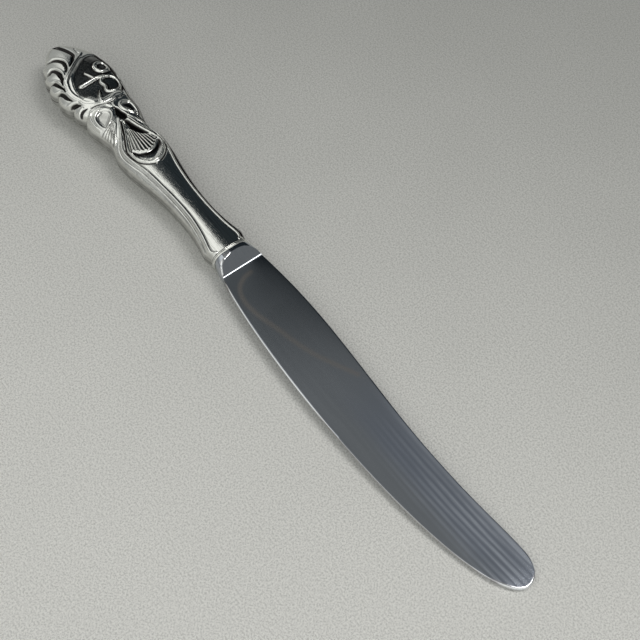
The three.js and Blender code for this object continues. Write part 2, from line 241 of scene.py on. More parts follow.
# %% Directions in the room
RIGHT, AWAY = (0.611, 0.7916), (-0.7916, 0.611)
room_world = bpy.data.worlds.new("room")
room_world.use_nodes = True
bpy.context.scene.world = room_world
room = Finish(room_world.node_tree)
direction = room.add("ShaderNodeTexCoord", {}, {})
x_part, y_part, upward = [room.part(direction, axis) for axis in range(3)]
to_right = RIGHT[0] * x_part + RIGHT[1] * y_part
to_back = AWAY[0] * x_part + AWAY[1] * y_part
to_left, to_front = to_right * -1.0, to_back * -1.0
print("nodes for the directions:", len(room_world.node_tree.nodes))

# %% [markdown]
# Each bright part of the room is a brightness and the two ends of its soft edge. The camera and the
# mirrors see the room at full strength; the light that it casts on matt things is a little weaker, so the
# table isn't washed out.

# %% Window, walls and overhead glow
WINDOW_EDGE, WINDOW_BASE = (0.14, 0.18), 0.35
WINDOW_TOP, WINDOW_NEAR = (0.65, 0.35, 0.88), (0.4, 0.15, 0.55)
WINDOW_SLANT = (0.12, 0.47, 0.65)
WALL_BASE = 0.02
OVERHEAD, NEAR_SIDE, FAR_WALL = (0.18, -0.492, -0.402), (0.8, 0.3, 0.65), (0.3, 0.84, 0.94)
FAR_WALL_LEAN = 0.45
ROOM_BLACK, ROOM_WHITE = (0, 0.006, 0.011, 1), (0.99, 1.0, 0.97, 1)
CAST_STRENGTH, SEEN_STRENGTH = 0.78, 1.0


def bright(value, brightness, low, high):
    return brightness * room.between(value, low, high)


window = room.between(to_left - bright(to_back, *WINDOW_SLANT), *WINDOW_EDGE)
window_level = WINDOW_BASE + bright(upward, *WINDOW_TOP) + bright(to_front, *WINDOW_NEAR)
wall_level = WALL_BASE + bright(to_front, *OVERHEAD) + bright(to_front, *NEAR_SIDE)
wall_level = wall_level + bright(to_back - FAR_WALL_LEAN * to_right, *FAR_WALL)
level = window * window_level + (1 - window) * wall_level
seen = sum(room.add("ShaderNodeLightPath", {}, {}, ray) for ray in ("Is Camera Ray", "Is Glossy Ray"))
room.add("ShaderNodeOutputWorld", {}, {"Surface": room.add("ShaderNodeBackground", {}, {
    "Color": room.colours(level, ROOM_BLACK, ROOM_WHITE),
    "Strength": CAST_STRENGTH + (SEEN_STRENGTH - CAST_STRENGTH) * seen,
})})
print("room nodes:", len(room_world.node_tree.nodes))

# %% [markdown]
# ## The lamps
# The shadow beside the knife is soft and falls to the left, so the main light is a wide round panel
# overhead, slightly to the right. A second one further to the right draws the shadow out. It is left out
# of reflections, because the metal shows only one panel.

# %% Two soft lights
LIGHT_SIZE, LIGHT_TINT = 0.30, (1.0, 0.99, 0.97)


def soft_light(name, to_the_right, height, energy):
    """A round soft light above the table, aimed at the knife."""
    spot = to_the_right * Vector((*RIGHT, 0)) + Vector((0, 0, height))
    bpy.ops.object.light_add(type="AREA", location=spot)
    light = bpy.context.object
    light.name = name
    light.data.shape = "DISK"
    light.data.size = LIGHT_SIZE
    light.data.energy = energy
    light.data.color = LIGHT_TINT
    light.rotation_euler = facing(light.location)
    print(name, "at", [round(v, 3) for v in light.location])
    return light


soft_light("ceiling_panel", 0.32, 0.83, 1.3)
soft_light("side_light", 0.52, 0.74, 1.2).visible_glossy = False

# %% [markdown]
# ## The table
# The table is pale grey stone with fine dark flecks, and a painted shade makes it darker away from the
# camera, where the light falls off. It only has to be plain and to catch the soft shadow, so it is a large
# flat grid whose noise sits in its colour and in a slight bump. Modelling the pores would cost millions of
# faces and show no more.

# %% Table and its stone
TABLE_SIZE, TABLE_SQUARES = 1.6, 8
STONE_NEAR, STONE_FAR = (0.97, 0.965, 0.93, 1), (0.46, 0.463, 0.445, 1)
FLECK_NEAR, FLECK_FAR = (0.42, 0.418, 0.40, 1), (0.21, 0.211, 0.202, 1)
FLECK_SHARE, FLECK_STEP = 0.6, (0.42, 0.62)
DARKER_WAY = (AWAY[0] + 0.45 * RIGHT[0], AWAY[1] + 0.45 * RIGHT[1], 0)
FALLOFF_STEP, TONE_UNEVEN = (-0.12, 0.16), 0.03

bpy.ops.mesh.primitive_grid_add(
    x_subdivisions=TABLE_SQUARES, y_subdivisions=TABLE_SQUARES, size=TABLE_SIZE, location=(0, 0, 0)
)
table = bpy.context.object
table.name = "table"
stone, finish = new_finish("table_stone")
cloud = finish.noise((0.03, 0.03, 0.03), 3.0)
speckle = finish.noise((2.6, 2.6, 2.6), 4.0, 0.8)
across_table = finish.add("ShaderNodeVectorMath", {"operation": "DOT_PRODUCT"}, {
    0: finish.place((MILLIMETRE, MILLIMETRE, MILLIMETRE)), 1: DARKER_WAY,
}, "Value")
# painted shade: the stone and its flecks darken away from the camera as the light falls off, with a faint
# cloud in the step
painted_falloff_and_cloud = finish.between(across_table + TONE_UNEVEN * (cloud - 0.5), *FALLOFF_STEP)
pale = finish.colours(painted_falloff_and_cloud, STONE_NEAR, STONE_FAR)
flecks = finish.colours(painted_falloff_and_cloud, FLECK_NEAR, FLECK_FAR)
stone_colour = finish.colours(FLECK_SHARE * finish.between(speckle, *FLECK_STEP), pale, flecks)
finish.surface({
    "Base Color": stone_colour, "Roughness": 0.75, "Normal": finish.bump(speckle, 0.15, 0.2),
})
dress(table, stone)
print("table size in m:", [round(v, 2) for v in table.dimensions])

# %% [markdown]
# ## The handle's outline
# Seen from above, the handle flares at the mouth, narrows to a waist, swells to a shoulder, steps in and
# opens into a broad head. The bends below are the CAD model's own, each a setback from the mouth, a half
# width and a half depth; the last number says how early the outline swings over from the bend before.

# %% Outline of the handle
BENDS = [
    (0.0, 4.65, 3.4, 1.0), (2.6, 5.15, 3.4, 1.0), (12.6, 3.95, 3.3, 0.6), (35.0, 6.2, 4.1, 1.25),
    (39.6, 5.25, 4.1, 1.0), (46.5, 6.6, 4.5, 1.0), (59.0, 8.25, 4.5, 1.0),
]
HEAD, NOSE, NOSE_POWER = 59.0, 15.1, 1.25
NOSE_POINTS, SIDE_POINTS = 400, 600


def ease(u):
    """A soft step from 0 to 1."""
    u = np.clip(u, 0, 1)
    return u * u * (3 - 2 * u)


def section(x):
    """Half width and half depth of the handle at places along its axis, up to the head."""
    setback = np.clip(-np.asarray(x, float), 0, HEAD)
    width, depth = np.full(setback.shape, BENDS[0][1]), np.full(setback.shape, BENDS[0][2])
    for (s0, w0, d0, _), (s1, w1, d1, swing) in zip(BENDS[:-1], BENDS[1:]):
        here = (setback >= s0) & (setback <= s1)
        u = ease(np.clip((setback - s0) / (s1 - s0), 0, 1) ** swing)
        width = np.where(here, w0 + (w1 - w0) * u, width)
        depth = np.where(here, d0 + (d1 - d0) * u, depth)
    return width, depth


nose_turn = np.linspace(0, math.pi / 2, NOSE_POINTS)
nose_edge = np.stack([
    -HEAD - NOSE * np.sin(nose_turn), BENDS[-1][1] * np.maximum(np.cos(nose_turn), 0) ** NOSE_POWER,
], 1)
print("half width at the waist:", float(section(-BENDS[2][0])[0]), "mm")

# %% [markdown]
# ## Where a point lies on the handle
# The crown and the lobes need to know how far a point is from the outline. Along the grip that is
# measured square to the axis, and round the nose it is measured from the middle of the head, like the
# spokes of a fan.

# %% Measure points against the outline
TINY, CROWN_POWER = 1e-9, 2.6
side_x = np.linspace(-HEAD, 0, SIDE_POINTS)
side_edge = np.stack([side_x, section(side_x)[0]], 1)
whole_edge = np.concatenate([nose_edge[::-1], side_edge[1:]])
edge_travel = np.concatenate([[0], np.cumsum(np.linalg.norm(np.diff(whole_edge, axis=0), axis=1))])
nose_angle = np.arctan2(nose_edge[:, 1], -HEAD - nose_edge[:, 0])[::-1]
nose_reach = np.hypot(nose_edge[:, 0] + HEAD, nose_edge[:, 1])[::-1]
nose_travel, side_travel = edge_travel[:NOSE_POINTS], edge_travel[NOSE_POINTS - 1:]


def measure(spots):
    """Distance from the axis, reach of the outline, travel along it from the nose, and half depth."""
    x, y = spots[:, 0], spots[:, 1]
    width, depth = section(x)
    on_nose = x < -HEAD
    angle = np.arctan2(np.abs(y), np.maximum(-HEAD - x, TINY))
    out = np.where(on_nose, np.hypot(x + HEAD, y), np.abs(y))
    reach = np.where(on_nose, np.interp(angle, nose_angle, nose_reach), width)
    along_side = np.interp(x, side_edge[:, 0], side_travel)
    travel = np.where(on_nose, np.interp(angle, nose_angle, nose_travel), along_side)
    return out, reach, travel, depth


def crown(out, reach, depth):
    """Height of the smooth handle above its seam."""
    share = np.clip(out / reach, 0, 1)
    return depth * (1 - share ** CROWN_POWER) ** (1 / CROWN_POWER)


print("outline from nose to mouth:", round(float(edge_travel[-1]), 1), "mm")

# %% [markdown]
# ## Drawing with lines
# A silversmith's die is cut line by line, and the relief can be written down the same way: as raised
# lines and cut grooves, each a list of points on the plan of the handle. Every point of the surface then
# finds its nearest place on each line. Sculpting by hand could not be repeated, and a bump map would not
# show from aside.

# %% Lines on the plan of the handle
FAR_OFF = 1e9


def smooth_line(points, closed=False, pieces=6):
    """A smooth curve through a few points."""
    p = np.array(points, float)
    p = np.concatenate([p[-1:], p, p[:2]]) if closed else np.concatenate([p[:1], p, p[-1:]])
    u = np.linspace(0, 1, pieces, endpoint=False)[:, None]
    curve = [
        0.5 * (2 * b + (c - a) * u + (2 * a - 5 * b + 4 * c - d) * u ** 2 + (3 * b - a - 3 * c + d) * u ** 3)
        for a, b, c, d in zip(p[:-3], p[1:-2], p[2:-1], p[3:])
    ]
    return np.concatenate([*curve, p[-2:-1]])


def nearest(spots, line, margin):
    """Distance to a line and place along it from 0 to 1, for the spots within a margin of it."""
    near = np.all((spots > line.min(0) - margin) & (spots < line.max(0) + margin), axis=1)
    chosen = spots[near]
    best, along = np.full(len(chosen), FAR_OFF), np.zeros(len(chosen))
    steps = np.diff(line, axis=0)
    lengths = np.linalg.norm(steps, axis=1)
    passed, total = 0.0, lengths.sum()
    for start, step, length in zip(line[:-1], steps, lengths):
        if length < TINY:
            continue
        t = np.clip((chosen - start) @ step / length ** 2, 0, 1)
        distance = np.linalg.norm(chosen - start - t[:, None] * step, axis=1)
        closer = distance < best
        best[closer] = distance[closer]
        along[closer] = (passed + t[closer] * length) / total
        passed += length
    distance, share = np.full(len(spots), FAR_OFF), np.zeros(len(spots))
    distance[near], share[near] = best, along
    return distance, share


print("lines ready")


# %% Closed lines and the profile of a bead
def inside(spots, loop):
    """Which spots lie inside a closed line."""
    within = np.zeros(len(spots), bool)
    for (x0, y0), (x1, y1) in zip(loop, np.roll(loop, -1, axis=0)):
        crosses = (y0 > spots[:, 1]) != (y1 > spots[:, 1])
        where = x0 + (spots[:, 1] - y0) * (x1 - x0) / (y1 - y0 if y1 != y0 else TINY)
        within ^= crosses & (spots[:, 0] < where)
    return within


def depth_inside(spots, loop, margin):
    """Distance from a closed line for the spots inside it, and 0 for the others."""
    return np.where(inside(spots, loop), nearest(spots, loop, margin)[0], 0)


def rounded(distance, half_width):
    """The profile of a rounded bead: 1 on the line, 0 at its half width."""
    return np.clip(1 - (distance / half_width) ** 2, 0, 1) ** 1.5


def ring(distance, middle, half_width):
    """The profile of a sharp line at a distance: 1 in its middle, 0 at its half width."""
    return np.clip(1 - np.abs(distance - middle) / half_width, 0, 1)


print("drawing tools ready")

# %% [markdown]
# ## The relief, written down
# The head carries a round sunk field. Its rim sweeps from the nose along the lobes to the neck, with a
# second, softer rim inside. The points are places on the plan, in millimetres.

# %% Rim and floor of the round field
FIELD_RIM = [
    (-66.6, 4.0), (-65.6, 3.0), (-64.8, 1.8), (-63.9, 0.3), (-63.0, -1.0), (-62.3, -2.2), (-61.5, -3.4),
    (-60.5, -4.4), (-59.3, -5.0), (-58.0, -5.3), (-56.5, -5.4), (-55.0, -5.2), (-53.5, -4.8), (-52.0, -4.2),
    (-50.9, -3.2), (-50.2, -2.0), (-49.8, -0.5), (-49.6, 1.0), (-49.8, 2.2), (-50.2, 3.2), (-50.2, 4.4),
]
FIELD = [
    (-65.2, 4.4), (-64.7, 3.0), (-64.0, 1.5), (-63.0, 0.2), (-62.0, -1.0), (-60.6, -2.3), (-59.2, -3.1),
    (-57.8, -3.6), (-56.2, -3.9), (-54.6, -3.8), (-53.4, -3.1), (-52.7, -1.9), (-51.4, -1.2), (-50.7, 0.2),
    (-50.7, 2.2), (-51.0, 4.0), (-51.0, 5.8), (-53.0, 7.1), (-57.0, 7.6), (-61.0, 7.6), (-64.3, 7.2),
    (-65.2, 5.9),
]
RIM_MIDDLE, RIM_STEP = (-57, 1), 0.08
INNER_RIM = [
    (x + RIM_STEP * (RIM_MIDDLE[0] - x), y + RIM_STEP * (RIM_MIDDLE[1] - y)) for x, y in FIELD_RIM[1:16]
]
print("points on the rims:", len(FIELD_RIM), len(INNER_RIM))

# %% [markdown]
# Below the field hang two drops, each in a frame, and a shell-shaped fan opens from a small hub between
# them. The fan's edge parts its flutes from a plain bowl.

# %% Drops, hub and fan
RIGHT_DROP = [
    (-47.4, 3.6), (-47.2, 4.6), (-46.4, 5.2), (-45.0, 5.3), (-43.6, 5.2), (-43.1, 4.8), (-43.4, 4.1),
    (-44.2, 3.2), (-45.2, 2.5), (-46.3, 2.3), (-47.1, 2.7),
]
LEFT_DROP = [
    (-48.2, -2.6), (-47.9, -1.6), (-47.1, -0.8), (-46.0, -0.5), (-44.9, -0.9), (-44.0, -1.9), (-43.2, -3.1),
    (-42.9, -3.9), (-43.6, -4.5), (-45.0, -4.8), (-46.6, -4.7), (-47.7, -4.0),
]
RIGHT_DROP_FRAME = [
    (-58.0, 7.8), (-55.0, 7.5), (-52.5, 6.9), (-50.5, 6.1), (-49.4, 5.2), (-48.9, 4.0), (-48.8, 2.6),
    (-48.3, 1.6), (-47.4, 1.05), (-46.2, 0.8),
]
LEFT_DROP_FRAME = [
    (-47.6, 0.4), (-48.6, -0.3), (-49.1, -1.5), (-49.3, -3.0), (-49.3, -4.2), (-48.7, -5.0), (-47.5, -5.4),
    (-45.5, -5.5), (-43.8, -5.2),
]
HUB = [
    (-47.4, 0.9), (-46.2, 1.55), (-45.2, 1.75), (-43.7, 2.2), (-42.4, 1.6), (-42.5, 0.5), (-43.0, 0.15),
    (-44.6, -0.25), (-46.0, 0.2),
]
FAN = [
    (-42.7, 0.9), (-42.0, 1.5), (-41.0, 1.8), (-39.0, 2.5), (-37.0, 3.3), (-35.2, 4.1), (-34.2, 4.5),
    (-33.0, 4.6), (-31.6, 4.2), (-30.2, 3.3), (-29.1, 2.0), (-28.6, 0.8), (-28.8, -0.5), (-29.5, -1.8),
    (-30.8, -2.8), (-32.4, -3.3), (-34.0, -3.4), (-35.4, -3.0), (-37.0, -2.2), (-39.0, -1.2), (-41.0, -0.4),
    (-42.3, 0.2),
]
FAN_EDGE = [
    (-34.4, 4.1), (-33.2, 3.1), (-32.4, 1.9), (-32.1, 0.6), (-32.4, -0.6), (-33.1, -1.7), (-34.0, -2.6),
]
print("points round the fan:", len(FAN))

# %% [markdown]
# A thread runs along each side of the grip, as on most silver of this kind, and turns in at the mouth. In
# the field grow a berry, a forked stem, a leaf and two thorns.

# %% Threads and foliage
RIGHT_THREAD = [
    (-43.3, 2.4), (-41.8, 3.2), (-40.2, 4.0), (-38.2, 4.7), (-36.0, 5.15), (-33.0, 5.2), (-30.0, 4.65),
    (-26.0, 3.75), (-22.0, 3.2), (-18.0, 2.9), (-14.0, 2.8), (-10.0, 2.85), (-6.0, 3.1), (-3.5, 3.45),
    (-1.9, 3.65), (-0.8, 3.5), (-0.35, 3.0),
]
LEFT_THREAD = [
    (-43.3, -0.2), (-41.5, -1.1), (-39.5, -2.2), (-37.5, -3.4), (-36.0, -4.2), (-34.0, -4.5), (-31.0, -4.1),
    (-27.0, -3.2), (-22.0, -2.7), (-18.0, -2.4), (-14.0, -2.3), (-10.0, -2.5), (-6.0, -3.1), (-3.2, -3.8),
    (-1.6, -4.1), (-0.7, -3.9), (-0.35, -3.3),
]
LEAF = [
    (-56.6, 3.7), (-55.6, 2.7), (-54.1, 2.9), (-52.7, 2.4), (-51.9, 3.3), (-51.8, 5.1), (-53.1, 6.4),
    (-55.2, 6.6), (-56.5, 5.4),
]
BERRY_AT, BERRY_RADIUS = (-60, 5.5), 1.6
BERRY = [
    (BERRY_AT[0] + BERRY_RADIUS * math.cos(t), BERRY_AT[1] + BERRY_RADIUS * math.sin(t))
    for t in np.linspace(0, 2 * math.pi, 13)[:-1]
]
STEM = [(-56.5, 5.2), (-57.0, 3.8), (-57.4, 2.4), (-57.3, 0.6), (-57.2, -0.8), (-57.1, -1.9)]
FORK = [(-57.3, 2.0), (-58.6, 1.6), (-60.1, 0.9)]
LONG_THORN = [(-50.0, -0.5), (-51.6, -0.1), (-53.4, 0.9)]
SHORT_THORN = [(-51.0, -2.0), (-52.2, -2.6), (-53.2, -3.4)]
print("points on the threads:", len(RIGHT_THREAD), len(LEFT_THREAD))

# %% [markdown]
# A raised line is its points, whether it is closed, its half width at the start and at the end, and its
# height.

# %% List the raised lines
RAISED = [
    (FIELD_RIM, False, 0.4, 0.6, 0.25), (INNER_RIM, False, 0.6, 0.7, 0.2),
    (RIGHT_DROP, True, 0.45, 0.45, 0.30), (LEFT_DROP, True, 0.55, 0.55, 0.28),
    (FAN, True, 0.42, 0.42, 0.34), (FAN_EDGE, False, 0.36, 0.36, 0.3),
    (RIGHT_THREAD, False, 0.28, 0.28, 0.2), (LEFT_THREAD, False, 0.4, 0.5, 0.26),
    (RIGHT_DROP_FRAME, False, 0.3, 0.3, 0.24), (LEFT_DROP_FRAME, False, 0.36, 0.36, 0.26),
]
FOLIAGE = [
    (LEAF, True, 0.45, 0.45, 0.42), (BERRY, True, 0.6, 0.6, 0.45), (STEM, False, 0.55, 0.6, 0.45),
    (FORK, False, 0.6, 0.2, 0.42), (LONG_THORN, False, 0.8, 0.15, 0.45), (SHORT_THORN, False, 0.7, 0.4, 0.3),
]
print("raised lines:", len(RAISED), "and in the field:", len(FOLIAGE))

# %% [markdown]
# ## Grooves
# Dark hooks between the lobes curl in from the outline and end against the rim of the field. Each is its
# points and its greatest half width. Any other cut is its points, its half width at the start and at the
# end, its depth and how black it has turned.

# %% Cut grooves
HOOKS = [
    ([(-73.2, 0.3), (-71.5, 0.6), (-69.1, 1.4), (-66.8, 1.8), (-65.5, 1.0), (-64.5, 0.1), (-63.8, -0.9)],
      1.0),
    ([(-71.0, -4.9), (-69.2, -3.6), (-68.3, -2.7), (-67.2, -1.9), (-66.0, -1.4), (-64.7, -1.5),
      (-63.6, -1.9), (-62.9, -2.5)], 0.6),
    ([(-67.4, -7.0), (-66.2, -5.6), (-65.8, -4.8), (-65.0, -4.3), (-63.7, -4.0), (-62.3, -4.2),
      (-61.1, -4.6), (-60.0, -5.1)], 0.65),
    ([(-64.4, -8.2), (-63.4, -7.5), (-63.0, -7.1), (-62.3, -6.4), (-61.2, -6.0), (-60.1, -5.8),
      (-58.1, -5.7)], 0.5),
    ([(-60.0, -8.3), (-59.5, -8.0), (-59.2, -7.6), (-58.6, -6.9), (-57.6, -6.4), (-56.5, -6.2),
      (-55.0, -5.8)], 0.55),
    ([(-54.2, -8.0), (-54.1, -7.3), (-54.0, -6.9), (-53.3, -6.0), (-52.4, -5.0)], 0.62),
    ([(-49.9, -7.2), (-50.1, -6.6), (-50.6, -6.1), (-50.8, -5.3), (-50.6, -4.4)], 0.52),
]
CUTS = [
    ([(-66.4, 3.6), (-67.4, 3.1), (-68.8, 3.4)], 0.2, 0.35, 0.25, 0.6),
    ([(-49.3, 5.0), (-48.9, 2.6), (-48.8, 1.0), (-49.0, -0.2), (-49.6, -1.8), (-50.0, -3.4)], 0.35, 0.35,
      0.2, 0.8),
    ([(-65.0, 2.4), (-63.2, 0.0), (-61.6, -2.2), (-60.0, -3.5), (-58.4, -4.2)], 0.8, 0.6, 0.0, 0.5),
    ([(-42.6, -0.3), (-41.0, -0.9), (-38.6, -1.9), (-36.2, -3.1), (-34.2, -3.9), (-32.0, -3.8),
      (-30.0, -3.0), (-28.7, -1.7), (-28.0, -0.3)], 0.28, 0.3, 0.22, 0.9),
    ([(-42.4, 2.0), (-40.2, 2.7), (-38.0, 3.6), (-35.6, 4.6), (-33.0, 5.0), (-30.8, 4.4), (-29.0, 2.9),
      (-28.0, 1.2)], 0.25, 0.3, 0.18, 0.8),
    ([(-44.0, 4.4), (-42.0, 4.2), (-40.0, 4.9), (-37.0, 5.7)], 0.3, 0.3, 0.15, 0.7),
]
print("hooks between lobes:", len(HOOKS), "and other cuts:", len(CUTS))

# %% [markdown]
# The threads along the grip stand out because a fine groove runs along each side of them. The grooves are
# the threads' own lines, moved a little towards the edge or the middle. Two more follow the right edge of
# the head.

# %% Grooves beside the threads and the head
THREAD_GROOVES = [
    (RIGHT_THREAD, 0.5, 0.3, 0.2, 0.95), (RIGHT_THREAD, -0.4, 0.2, 0.06, 0.5),
    (LEFT_THREAD, -0.62, 0.22, 0.12, 0.5), (LEFT_THREAD, 0.55, 0.2, 0.08, 0.5),
]
HEAD_GROOVES = [
    ([(-64.5, 6.4), (-62.0, 7.0), (-58.5, 7.2), (-55.0, 7.0), (-52.6, 6.4), (-50.8, 5.5)],
     0.4, 0.3, 0.2, 0.9),
    ([(-55.0, 7.95), (-52.0, 7.4), (-49.0, 6.6), (-47.0, 6.0), (-44.5, 5.9), (-42.0, 5.4)],
     0.3, 0.3, 0.15, 0.9),
]
for thread, shift, half_width, cut_depth, blackness in THREAD_GROOVES:
    groove_line = [(x, y + shift) for x, y in thread[3:-1]]
    CUTS.append((groove_line, half_width, half_width, cut_depth, blackness))
CUTS.extend(HEAD_GROOVES)
print("cuts now:", len(CUTS))

# %% [markdown]
# Below the left drop a bundle of fine flutes springs out towards the edge. They are short raised lines
# from one root with a groove beside each, so a loop draws them.

# %% Flutes below the drop
FLUTE_ROOT, FLUTE_BEND = np.array([-43.6, -0.9]), np.array([0.25, -0.1])
FLUTE_TURNS = ((-36, 6.2), (-46, 5.6), (-56, 5.0), (-66, 4.6), (-77, 4.4))
for degrees, length in FLUTE_TURNS:
    way = np.array([math.cos(math.radians(degrees)), math.sin(math.radians(degrees))])
    flute_line = [
        tuple(FLUTE_ROOT + way * length * u + FLUTE_BEND * math.sin(math.pi * u))
        for u in (0.15, 0.45, 0.75, 1)
    ]
    RAISED.append((flute_line, False, 0.18, 0.34, 0.28))
    CUTS.append(([(x - 0.12, y - 0.4) for x, y in flute_line], 0.16, 0.28, 0.16, 0.6))
print("raised lines now:", len(RAISED))

# %% [markdown]
# ## The height of the relief
# All lines are gathered into one height for each spot, in millimetres above the smooth crown, together with
# a value for how dark the silver is there: mostly tarnish, and painted shade along the left seam, in the
# fan's bowl and in the drops. Old silver is polished on its crests and stays black in its grooves, and that
# contrast is what makes the carving readable. The lobes along the edge come first: a wave along the outline,
# whose valleys stand where the photograph has them.

# %% Valleys between the lobes
LOBE_VALLEYS = (-3.2, 6.0, 10.2, 13.5, 18.0, 23.8, 28.3, 32.5)
LOBE_DEPTH, LOBE_ROUNDNESS, LAST_LOBE = 0.95, 0.8, 2.1


def lobe_valley(travel):
    """How deep a place along the outline lies between two lobes: 1 at the bottom of a valley."""
    lobe = np.interp(travel, LOBE_VALLEYS, range(len(LOBE_VALLEYS)))
    valley = 1 - np.abs(np.sin(math.pi * lobe)) ** LOBE_ROUNDNESS
    return np.where(travel < LOBE_VALLEYS[-1] - LAST_LOBE, valley, 0)


print("lobes:", len(LOBE_VALLEYS) - 1)

# %% [markdown]
# The field is a flat bed sunk below the crown, darkest close round the foliage, where no cloth reaches.

# %% The sunk field
FIELD_BED, FIELD_LEAN, FIELD_SINK, FIELD_WALL = 3.85, 0.02, 0.4, 0.6
FIELD_DARK, FIELD_DARKER, RING_DARK = 0.5, 0.14, 0.35


def field_relief(spots, base, dark):
    """Heights of the field's bed and of its foliage; it also darkens the bed."""
    floor = ease(depth_inside(spots, smooth_line(FIELD, True), 9.0) / FIELD_WALL)
    bed = np.minimum(base - FIELD_SINK, FIELD_BED - FIELD_LEAN * spots[:, 1])
    grown, beads, rings = np.zeros((3, len(spots)))
    for points, closed, start, end, rise in FOLIAGE:
        distance, along = nearest(spots, smooth_line(points, closed), 1.5)
        bead = rounded(distance, start + (end - start) * along)
        grown, beads = np.maximum(grown, rise * bead), np.maximum(beads, bead)
        rings = np.maximum(rings, ring(distance, end + 0.15, 0.3))
    tarnish = FIELD_DARK + FIELD_DARKER * ease((-57 - spots[:, 0]) / 5) + RING_DARK * rings
    dark[:] = np.maximum(dark, floor * tarnish * (1 - ease(beads * 1.5)))
    return (bed - base) * floor, grown


print("field bed at", FIELD_BED, "mm")

# %% [markdown]
# The fan is cut with flutes that spread from one point, like the ribs of a scallop shell. Near that point it
# is plain and dark, and beyond its edge lies the hollow bowl, with painted shade in it below the edge.

# %% The fan and its bowl
FAN_APEX, FAN_SPREAD, FLUTES = np.array([-43.4, 0.75]), 0.74, 9.0
BEYOND_EDGE = [(-33.0, -5.0), (-27.0, -5.0), (-27.0, 6.0), (-34.0, 6.0)]
BOWL_DEPTH, BOWL_SHADE, FAN_SINK, FLUTE_DEPTH, PLAIN_DEPTH, PLAIN_DARK = 0.45, 0.9, 0.10, 0.30, 0.2, 0.92


def fan_relief(spots, dark):
    """Height of the fan; it also darkens its grooves and paints shade in its bowl."""
    outline, split = smooth_line(FAN, True), smooth_line(FAN_EDGE)
    within, edge = inside(spots, outline), nearest(spots, outline, 3.0)[0]
    beyond = inside(spots, np.concatenate([split, BEYOND_EDGE]))
    bowl, fluted = within & beyond, within & ~beyond
    from_split = nearest(spots, split, 6.0)[0]
    # painted shade in the bowl below the fan's edge
    shadow = ease((from_split - 0.2) / 0.5) * (1 - ease((from_split - 0.6) / 2.0))
    dark[:] = np.where(bowl, np.maximum(dark, BOWL_SHADE * shadow * ease(edge / 0.5)), dark)
    ray = spots - FAN_APEX
    angle, run = np.arctan2(ray[:, 1], ray[:, 0]), np.hypot(ray[:, 0], ray[:, 1])
    flute = np.abs(np.sin(FLUTES * math.pi * (angle + FAN_SPREAD / 2) / FAN_SPREAD))
    start = 3.4 + 2.4 * ease((angle + 0.12) / 0.3) + 6 * np.maximum(angle - 0.12, 0)
    strength = ease((run - start) / 1.3) * ease(edge / 0.45)
    plain = ease((angle + 0.16) / 0.12) * (1 - ease((run - start) / 1.0)) * ease(edge / 0.4)
    groove_dark = (0.5 + 0.5 * ease((angle + 0.3) / 0.3)) * strength * (1 - flute ** 2)
    dark[:] = np.where(fluted, np.maximum(dark, np.maximum(groove_dark, PLAIN_DARK * plain)), dark)
    flutes = -FAN_SINK - FLUTE_DEPTH * strength * (1 - flute ** 0.8) - PLAIN_DEPTH * plain
    return np.where(bowl, -BOWL_DEPTH * ease(edge / 1.5), np.where(fluted, flutes, 0))


print("flutes in the fan:", FLUTES)

# %% [markdown]
# A hook swells in its middle and thins out at both ends, and a rounded crest follows it on the side of
# the lobe. The first hook, at the nose, only thins out and has no crest.

# %% The hooks between the lobes
HOOK_THIN, HOOK_CUT, HOOK_SWELL_CUT = 0.2, 0.3, 0.35
CREST_SIDE, CREST_HEIGHT, CREST_HALF = (-0.6, 0.8), 0.2, 0.5


def beside(line, distance):
    """A line moved to the side on which its lobe lies, without its last few points."""
    steps = np.gradient(line, axis=0)
    sideways = np.stack([-steps[:, 1], steps[:, 0]], 1)
    sideways *= np.sign(sideways @ CREST_SIDE)[:, None] / np.linalg.norm(sideways, axis=1)[:, None]
    return (line + sideways * distance)[:-5]


def hook_relief(spots):
    """Depth of the hooks, height of the crests beside them, and how dark the hooks are."""
    cut, crest, dark = np.zeros((3, len(spots)))
    for number, (points, width) in enumerate(HOOKS):
        line = smooth_line(points)
        distance, along = nearest(spots, line, 2.0)
        swell = np.sin(math.pi * np.clip(along, 0, 1) ** 1.2) if number else (1 - along) ** 0.7
        groove = rounded(distance, HOOK_THIN + (width - HOOK_THIN) * swell)
        cut = np.maximum(cut, (HOOK_CUT + HOOK_SWELL_CUT * swell) * groove)
        black = 0.4 + 0.6 * ease(along / 0.45) if number else 1
        dark = np.maximum(dark, black * ease(groove * 1.7))
        if number:
            from_crest = nearest(spots, beside(line, 0.35 + 0.7 * width), 1.0)[0]
            crest = np.maximum(crest, CREST_HEIGHT * rounded(from_crest, CREST_HALF))
    return cut, crest, dark


print("hooks with a crest:", len(HOOKS) - 1)

# %% [markdown]
# Dark lines also follow the outline itself: one along the grip and two along the right edge of the head, and
# a faint painted shade lies along the seam on the left.

# %% Dark lines along the outline
GRIP_START, LINES_START = -44, -67
BORDER_DARK, LEFT_BORDER_DARK, SEAM_SHADE = 0.85, 0.3, 0.5


def border_dark(spots, inset):
    """How dark the outline's own lines are, with the painted shade along the left seam, for spots at an
    inset from it.
    """
    x, right = spots[:, 0], spots[:, 1] > 0
    grip = ease((x - GRIP_START) / 3)
    on_grip = 1 - ease((inset - 0.6) / 0.2)
    on_head = np.maximum(1 - np.abs(inset - 0.28) / 0.26, 1 - np.abs(inset - 0.9) / 0.34)
    on_head = np.clip(1.8 * on_head, 0, 1)
    border = (grip * on_grip + (1 - grip) * on_head) * ease((x - LINES_START) / 2)
    # painted shade along the seam on the left side
    seam = SEAM_SHADE * (1 - ease((inset - 0.05) / 0.35))
    return np.where(right, BORDER_DARK * border, np.maximum(LEFT_BORDER_DARK * grip * border, seam))


print("border starts at x", LINES_START, "mm")

